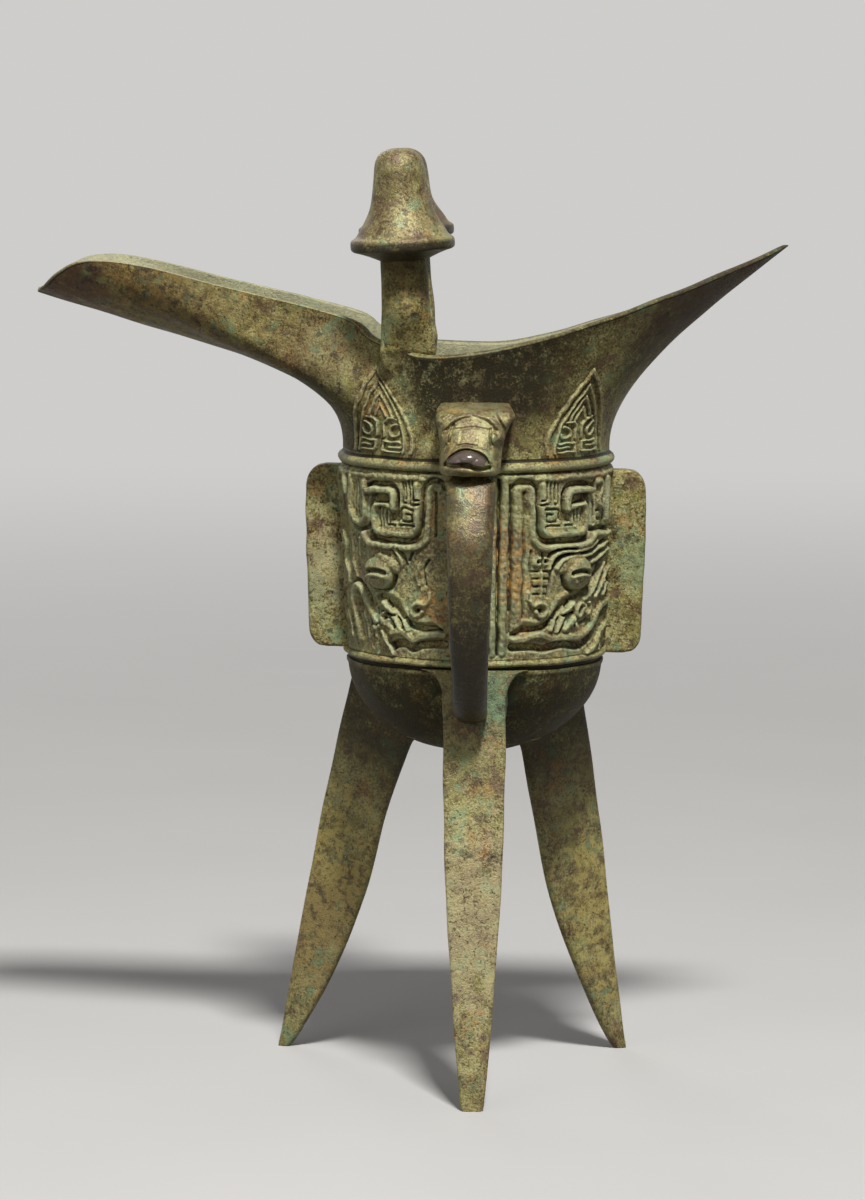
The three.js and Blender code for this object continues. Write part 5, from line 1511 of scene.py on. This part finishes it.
def patina(name, wear=0.0, smooth=0.0, darkness=0.0, speckle=1.0, rubbed=(92, 80, 62), cracks=0.0, shine=0.38,
           grit=0.72):
    """Patinated bronze. wear is how much of it is rubbed down to the colour rubbed, smooth calms the grain,
    darkness deepens the colour, speckle is how strongly its grains differ, cracks is how much of it fine
    cracks cross, shine is how much it reflects, and grit is how rough it feels."""
    colours = bpy.context.scene.libation_cup_colours
    s = Surface(name)
    # The mottled ground, from dirt to pale bloom
    broad, medium = s.noise(8.0, 4, 0.6, 0.3), s.noise(2.1, 5, 0.65, 1.7)
    grain = s.noise(0.52, 3, 0.7, 2.9)
    field = s.blend(((broad, 0.42), (medium, 0.5 * speckle), (grain, (0.74 - 0.25 * smooth) * speckle)),
                    0.49 - 0.06 * darkness)
    colour = s.stops(field, (
        (0.27, linear(44, 34, 22)), (0.385, linear(90, 73, 42)), (0.455, tuple(colours.olive)),
        (0.54, tuple(colours.moss)), (0.68, linear(186, 184, 134)),
    ))
    # Drifts of orange brown and of yellow green, then of umber and of malachite
    hue = s.blend(((s.noise(7.0, 5, 0.62, 6.2), 1.0), (grain, 0.35)), 0.5)
    colour = s.mix(s.ramp(hue, 0.55, 0.68, 0, 0.5), colour, linear(164, 118, 62))
    colour = s.mix(s.ramp(hue, 0.45, 0.33, 0, 0.4), colour, linear(146, 142, 74))
    hue = s.blend(((s.noise(6.0, 5, 0.62, 26.0), 1.0), (medium, 0.45)), 0.5)
    colour = s.mix(s.ramp(hue, 0.56, 0.66, 0, 0.72), colour, tuple(colours.umber))
    colour = s.mix(s.ramp(hue, 0.45, 0.33, 0, 0.6), colour, tuple(colours.malachite))
    # The large stains, with ragged edges
    rough_edge = s.blend(((s.noise(3.4, 6, 0.7, 40.0), 2.4), (medium, 1.0), (grain, 0.8)), 0.5)
    tints = {
        "rust": s.mix(s.ramp(medium, 0.42, 0.56), linear(104, 60, 42), tuple(colours.rust)),
        "malachite": s.mix(s.ramp(medium, 0.4, 0.6), linear(92, 112, 80), tuple(colours.malachite)),
        "umber": tuple(colours.umber),
        "shadow": tuple(colours.shadow),
        "pale": linear(176, 163, 124),
        "gold": s.mix(s.ramp(medium, 0.4, 0.58), linear(70, 56, 30), linear(146, 126, 62)),
        "straw": s.mix(s.ramp(medium, 0.34, 0.52), linear(112, 92, 50), linear(186, 168, 98)),
    }
    for centre, radius, tint, amount in STAINS:
        ragged = s.scaled_sum(s.stain(centre, radius), 0.9, rough_edge)
        colour = s.mix(s.ramp(ragged, 0.85, 1.3, 0, amount), colour, tints[tint])
    # Specks, pits and cracks
    specks = s.ramp(s.noise(2.8, 4, 0.6, 61.0), 0.585, 0.64, 0, 0.62 * speckle)
    colour = s.mix(specks, colour, linear(52, 39, 36))
    pits = s.ramp(s.noise(0.8, 4, 0.65, 23.0), 0.41, 0.35, 0, 0.75 - 0.3 * smooth)
    if cracks:
        ridge = s.math("ABSOLUTE", s.math("SUBTRACT", s.noise(7.0, 6, 0.6, 51.0), 0.5))
        patches = s.ramp(s.noise(9.0, 2, 0.5, 52.0), 0.45, 0.58, 0, cracks)
        pits = s.math("MAXIMUM", pits, s.math("MULTIPLY", s.ramp(ridge, 0.009, 0.0), patches))
    colour = s.mix(pits, colour, tuple(colours.shadow))
    # The grey bloom where the drink was, painted shade and soot, painted shade in the recesses, and paler
    # edges that are rubbed and carry a painted highlight
    colour = s.mix(s.math("MULTIPLY", s.mark("inside"), 0.72), colour, linear(150, 150, 124))
    mottle = s.blend(((broad, 0.5), (medium, 0.8), (grain, 0.7)), 0.5)
    # Painted shade and soot that the pieces carry, mottled
    soot = s.math("MULTIPLY", s.mark("soot"), s.ramp(mottle, 0.5, 0.72, 1.0, 0.68))
    colour = s.mix(soot, colour, linear(31, 26, 10))
    # Painted shade in the relief's recesses, and on its edges a paler colour that is rubbed and paints a
    # highlight
    level = s.mark("relief")
    colour = s.mix(s.ramp(level, -0.01, -0.2, 0, 0.95), colour, tuple(colours.shadow))
    colour = s.mix(s.ramp(level, 0.03, 0.3, 0, 0.6), colour, tuple(colours.worn))
    # What is rubbed bare, and what hands have polished
    if wear:
        share = s.ramp(s.noise(5.0, 5, 0.6, 20.0), 0.36, 0.6, 0.25 * wear, wear)
        colour = s.mix(s.math("MULTIPLY", share, s.ramp(soot, 0, 0.8, 1, 0.3)), colour, linear(*rubbed))
    polish = s.mark("polish")
    colour = s.mix(polish, colour, linear(92, 80, 72))
    # Its shine and its feel, both calmer where it is polished
    rough = s.ramp(field, 0.3, 0.66, 0.36 - 0.1 * smooth, 0.58 - 0.18 * smooth)
    if not smooth:
        rough = s.math("ADD", rough, s.math("MULTIPLY", soot, 0.2))
    rough = s.add("ShaderNodeMix", {0: polish, 2: rough, 3: 0.2}, data_type="FLOAT").outputs[0]
    height = s.blend(((grain, 1.0), (medium, 0.8), (s.noise(0.24, 2, 0.6, 31.0), 0.5)), 0.5)
    height = s.math("SUBTRACT", height, s.math("MULTIPLY", pits, 0.35))
    calm = s.add("ShaderNodeMix", {0: polish, 2: grit - 0.36 * smooth, 3: 0.08}, data_type="FLOAT").outputs[0]
    bump = s.add("ShaderNodeBump", {"Height": height, "Strength": calm, "Distance": 0.3 * MM})
    shader = s.add("ShaderNodeBsdfPrincipled", {
        "Base Color": colour, "Roughness": rough, "Metallic": 0.18 + 0.16 * smooth,
        "Specular IOR Level": shine, "Normal": bump.outputs["Normal"],
    })
    s.add("ShaderNodeOutputMaterial", {"Surface": shader.outputs["BSDF"]})
    return s.material


def plain_clay(name):
    """Fired casting clay, brown and crumbly."""
    s = Surface(name)
    crumbs = s.noise(0.9, 5, 0.6)
    colour = s.mix(s.ramp(crumbs, 0.35, 0.65), linear(120, 98, 74), linear(86, 66, 50))
    bump = s.add("ShaderNodeBump", {"Height": crumbs, "Strength": 0.6, "Distance": 0.3 * MM})
    shader = s.add("ShaderNodeBsdfPrincipled", {
        "Base Color": colour, "Roughness": 0.92, "Normal": bump.outputs["Normal"]})
    s.add("ShaderNodeOutputMaterial", {"Surface": shader.outputs["BSDF"]})
    return s.material


# The camera, fitted to the photo, in metres, millimetres of lens and degrees
CAMERA_EYE = (0.04625, -1.18989, 0.2525)
CAMERA_TARGET = (0.00505, 0.00571, 0.1105)
CAMERA_LENS = 156.0
CAMERA_ROLL = 0.3
LAMP_TARGET = (0.01, 0.0, 0.12)


class CUP_OT_stage(bpy.types.Operator):
    """Lay the floor, hang the lamps and set the camera"""

    bl_idname = "libation_cup.stage"
    bl_label = "Stage"

    def execute(self, context):
        settings = context.scene.libation_cup_stage
        self.floor(context, settings)
        self.lamps(context, settings)
        self.camera(context)
        context.scene.view_settings.view_transform = "Standard"
        return {"FINISHED"}

    def floor(self, context, settings):
        bm = bmesh.new()
        bmesh.ops.create_grid(bm, x_segments=8, y_segments=8, size=30.0)
        mesh = bpy.data.meshes.new("floor")
        bm.to_mesh(mesh)
        bm.free()
        s = Surface("floor")
        cloud = s.add("ShaderNodeTexNoise", {"Vector": s.place, "Scale": 9.0, "Detail": 3.0}).outputs["Fac"]
        clouded = tuple(v * 0.97 for v in settings.floor)
        colour = s.mix(s.ramp(cloud, 0.3, 0.7), tuple(settings.floor), clouded)
        # The floor throws little of its light back at the cup.
        seen = s.seen()
        colour = s.mix(seen, tuple(v * 0.14 for v in settings.floor), colour)
        near = s.add("ShaderNodeBsdfPrincipled", {"Base Color": colour, "Roughness": 0.9})
        far = s.add("ShaderNodeEmission", {"Color": (*settings.backdrop, 1.0)})
        away = s.add("ShaderNodeVectorMath", {0: s.place}, operation="LENGTH").outputs["Value"]
        share = s.math("MULTIPLY", s.ramp(away, 0.3, 1.6), seen)
        both = s.add("ShaderNodeMixShader", {0: share, 1: near.outputs["BSDF"], 2: far.outputs["Emission"]})
        s.add("ShaderNodeOutputMaterial", {"Surface": both.outputs["Shader"]})
        mesh.materials.append(s.material)
        floor = bpy.data.objects.new("floor", mesh)
        context.scene.collection.objects.link(floor)

    def lamps(self, context, settings):
        world = bpy.data.worlds.new("surroundings")
        world.use_nodes = True
        s = Surface.of_tree(world.node_tree)
        pale = (*linear(238, 238, 240), 1.0)
        light = s.add("ShaderNodeBackground", {"Color": pale, "Strength": settings.sky})
        backdrop = s.add("ShaderNodeBackground", {"Color": (*settings.backdrop, 1.0), "Strength": 1.0})
        both = s.add("ShaderNodeMixShader", {0: s.seen(), 1: light.outputs[0], 2: backdrop.outputs[0]})
        s.add("ShaderNodeOutputWorld", {"Surface": both.outputs["Shader"]})
        context.scene.world = world
        aim = Vector(LAMP_TARGET)
        for name, place, size, power in (
            ("key", (0.21, -0.82, 1.53), 0.22, settings.key_power),
            ("fill", (-0.7, -1.25, 0.75), 0.8, settings.fill_power),
            ("back", (-0.5, 1.2, 0.9), 0.6, settings.back_power),
        ):
            lamp = bpy.data.lights.new(name, "AREA")
            lamp.energy = power
            lamp.size = size
            holder = bpy.data.objects.new(name, lamp)
            holder.location = place
            holder.rotation_euler = (aim - Vector(place)).to_track_quat("-Z", "Y").to_euler()
            context.scene.collection.objects.link(holder)

    def camera(self, context):
        eye, target = Vector(CAMERA_EYE), Vector(CAMERA_TARGET)
        camera = bpy.data.cameras.new("camera")
        camera.lens = CAMERA_LENS
        camera.sensor_fit = "VERTICAL"
        camera.sensor_height = 36.0
        camera.clip_start = 0.05
        camera.clip_end = 200.0
        holder = bpy.data.objects.new("camera", camera)
        look = (target - eye).to_track_quat("-Z", "Y").to_matrix().to_4x4()
        roll = Matrix.Rotation(math.radians(CAMERA_ROLL), 4, "Z")
        holder.matrix_world = Matrix.Translation(eye) @ look @ roll
        context.scene.collection.objects.link(holder)
        context.scene.camera = holder


class CUP_OT_materials(bpy.types.Operator):
    """Mix the bronze's patinas and the casting clay"""

    bl_idname = "libation_cup.materials"
    bl_label = "Materials"

    def execute(self, context):
        patina("patina", shine=0.16)
        patina("patina relief", grit=1.0)
        patina("patina legs", speckle=0.74, cracks=0.7)
        patina("patina handled", wear=0.35, smooth=0.5, darkness=0.5, rubbed=(86, 70, 48))
        patina("patina head", wear=0.3, smooth=0.6)
        patina("patina strap", wear=0.75, smooth=0.9, darkness=1.4, rubbed=(62, 53, 35))
        patina("patina spacer", wear=0.8, smooth=0.4, speckle=0.6, rubbed=(126, 124, 102))
        plain_clay("casting clay")
        return {"FINISHED"}


class CUP_OT_wall(bpy.types.Operator):
    """Model the cup's wall with its bowl, ridges, spout and tail"""

    bl_idname = "libation_cup.wall"
    bl_label = "Cup Wall"

    def execute(self, context):
        sizes = context.scene.libation_cup_sizes
        turns = np.linspace(0, 360, sizes.wall_columns + 1)
        levels, relief, inside, soot = cup_levels(turns)
        levels = uneven(levels, sizes.wander / MM, 16.0, 1)
        levels[:, -1] = levels[:, 0]
        cup = close(net(levels, relief=relief, inside=inside, soot=soot))
        add_piece("cup_wall", cup, "patina", "patinated_bronze", "vessel_body")
        return {"FINISHED"}


class CUP_OT_band(bpy.types.Operator):
    """Model the masks of the band"""

    bl_idname = "libation_cup.band"
    bl_label = "Band Relief"

    def execute(self, context):
        shift = context.scene.libation_cup_sizes.panel_shift / MM
        band_panel("band_relief_front_spout", 180, 270, shift)
        band_panel("band_relief_front_tail", 360, 270, 0.0)
        band_panel("band_relief_back_spout", 180, 90, shift / 2)
        band_panel("band_relief_back_tail", 0, 90, 0.0)
        return {"FINISHED"}


class CUP_OT_blades(bpy.types.Operator):
    """Model the rising blades of the neck"""

    bl_idname = "libation_cup.blades"
    bl_label = "Neck Blades"

    def execute(self, context):
        for blade in NECK_BLADES:
            neck_blade(*blade)
        return {"FINISHED"}


class CUP_OT_legs(bpy.types.Operator):
    """Model the three blade legs"""

    bl_idname = "libation_cup.legs"
    bl_label = "Legs"

    def execute(self, context):
        for seed, (node, bearing, foot_radius, foot_bearing, *measures) in enumerate(LEGS):
            swing = math.radians(foot_bearing - bearing)
            levels, soot = leg_levels(foot_radius, swing, *measures)
            points = turned_about_axis(capped(levels), bearing)
            # The foot stays flat, so the surface strays only above it.
            off_ground = np.clip(points[..., 2:] / 6, 0, 1)
            points = lerp(points, uneven(points, 0.11, 15.0, 10 + seed), off_ground)
            points = out_of_hollow(points)
            leg = close(net(points, soot=capped_mark(soot)))
            add_piece(node.replace("leg", "blade_leg"), leg, "patina legs", "patinated_bronze", node)
        return {"FINISHED"}


class CUP_OT_flanges(bpy.types.Operator):
    """Model the three flanges of the band"""

    bl_idname = "libation_cup.flanges"
    bl_label = "Flanges"

    def execute(self, context):
        for seed, (node, bearing, drop) in enumerate(FLANGES):
            points = turned_about_axis(capped(flange_levels(drop)), bearing)
            flange = close(net(uneven(points, 0.12, 8.0, 20 + seed)))
            add_piece(node.replace("flange", "plate_flange"), flange, "patina", "patinated_bronze", node)
        return {"FINISHED"}


class CUP_OT_handle(bpy.types.Operator):
    """Model the handle's strap and the animal's head over it"""

    bl_idname = "libation_cup.handle"
    bl_label = "Handle"

    def execute(self, context):
        levels, soot = strap_levels()
        strap = uneven(capped(levels), 0.1, 12.0, 30)
        strap = close(net(strap, soot=capped_mark(soot)))
        add_piece("strap", strap, "patina strap", "handled_bronze", "handle_strap")
        levels, mark, polish = head_levels()
        points = uneven(capped(levels), 0.08, 5.0, 31)
        head = close(net(points, relief=capped_mark(mark), polish=capped_mark(polish)))
        add_piece("animal_head", head, "patina head", "handled_bronze", "handle_head", sharp=70)
        return {"FINISHED"}


class CUP_OT_posts(bpy.types.Operator):
    """Turn the two posts and their bell caps and stand them on the rim"""

    bl_idname = "libation_cup.posts"
    bl_label = "Posts"

    def execute(self, context):
        for seed, (label, side, x, height, extra, girth) in enumerate(POSTS):
            shaft = spun(shaft_profile(height))
            # The cap's shadow, painted on the shaft's top
            shade_spun(shaft, ((height - 10, 0.0), (height - 6, 0.3), (height, 0.6)))
            wander(shaft, 0.12, 9.0, 40 + seed)
            stand_on_rim(shaft, side, x)
            flush_with_wall(shaft, side, x)
            add_piece(f"shaft_{label}", shaft, "patina", "patinated_bronze", f"post_{label}")
            cap = spun(cap_profile(height, extra, girth))
            low = height + CAP_GAP
            # Painted shade under the cap's rim, and a darker rim band
            shade_spun(cap, ((low + 1.4, 0.95), (low + 2.4, 0.95), (low + 4.1, 0.9), (low + 4.7, 0.0)))
            wander(cap, 0.12, 9.0, 40 + seed)
            stand_on_rim(cap, side, x)
            add_piece(f"bell_cap_{label}", cap, "patina handled", "handled_bronze", f"post_cap_{label}")
        return {"FINISHED"}


class CUP_OT_kept(bpy.types.Operator):
    """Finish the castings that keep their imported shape"""

    bl_idname = "libation_cup.kept"
    bl_label = "Kept Castings"

    def execute(self, context):
        for name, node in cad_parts.items():
            if "clay_core" in name or "spacer" in name:
                material = "casting clay" if "clay" in name else "patina spacer"
                node.data.materials.clear()
                node.data.materials.append(bpy.data.materials[material])
        return {"FINISHED"}


class CUP_PT_panel(bpy.types.Panel):
    """Lists the cup's pieces and their settings"""

    bl_idname = "CUP_PT_panel"
    bl_label = "Libation Cup"
    bl_space_type = "VIEW_3D"
    bl_region_type = "UI"
    bl_category = "Libation Cup"

    def draw(self, context):
        for group in (context.scene.libation_cup_sizes, context.scene.libation_cup_colours,
                      context.scene.libation_cup_stage):
            box = self.layout.box()
            for key in group.bl_rna.properties.keys():
                if key not in ("rna_type", "name"):
                    box.prop(group, key)
        for operator in OPERATORS:
            self.layout.operator(operator.bl_idname)


OPERATORS = (
    CUP_OT_stage,
    CUP_OT_materials,
    CUP_OT_wall,
    CUP_OT_band,
    CUP_OT_blades,
    CUP_OT_legs,
    CUP_OT_flanges,
    CUP_OT_handle,
    CUP_OT_posts,
    CUP_OT_kept,
)
GROUPS = (CupSizes, CupColours, StageSettings)


def register():
    for kind in (*GROUPS, *OPERATORS, CUP_PT_panel):
        bpy.utils.register_class(kind)
    bpy.types.Scene.libation_cup_sizes = bpy.props.PointerProperty(type=CupSizes)
    bpy.types.Scene.libation_cup_colours = bpy.props.PointerProperty(type=CupColours)
    bpy.types.Scene.libation_cup_stage = bpy.props.PointerProperty(type=StageSettings)


def unregister():
    del bpy.types.Scene.libation_cup_stage
    del bpy.types.Scene.libation_cup_colours
    del bpy.types.Scene.libation_cup_sizes
    for kind in reversed((*GROUPS, *OPERATORS, CUP_PT_panel)):
        bpy.utils.unregister_class(kind)


def main():
    register()
    bpy.ops.libation_cup.stage()
    bpy.ops.libation_cup.materials()
    bpy.ops.libation_cup.wall()
    bpy.ops.libation_cup.band()
    bpy.ops.libation_cup.blades()
    bpy.ops.libation_cup.legs()
    bpy.ops.libation_cup.flanges()
    bpy.ops.libation_cup.handle()
    bpy.ops.libation_cup.posts()
    bpy.ops.libation_cup.kept()


if __name__ == "__main__":
    main()
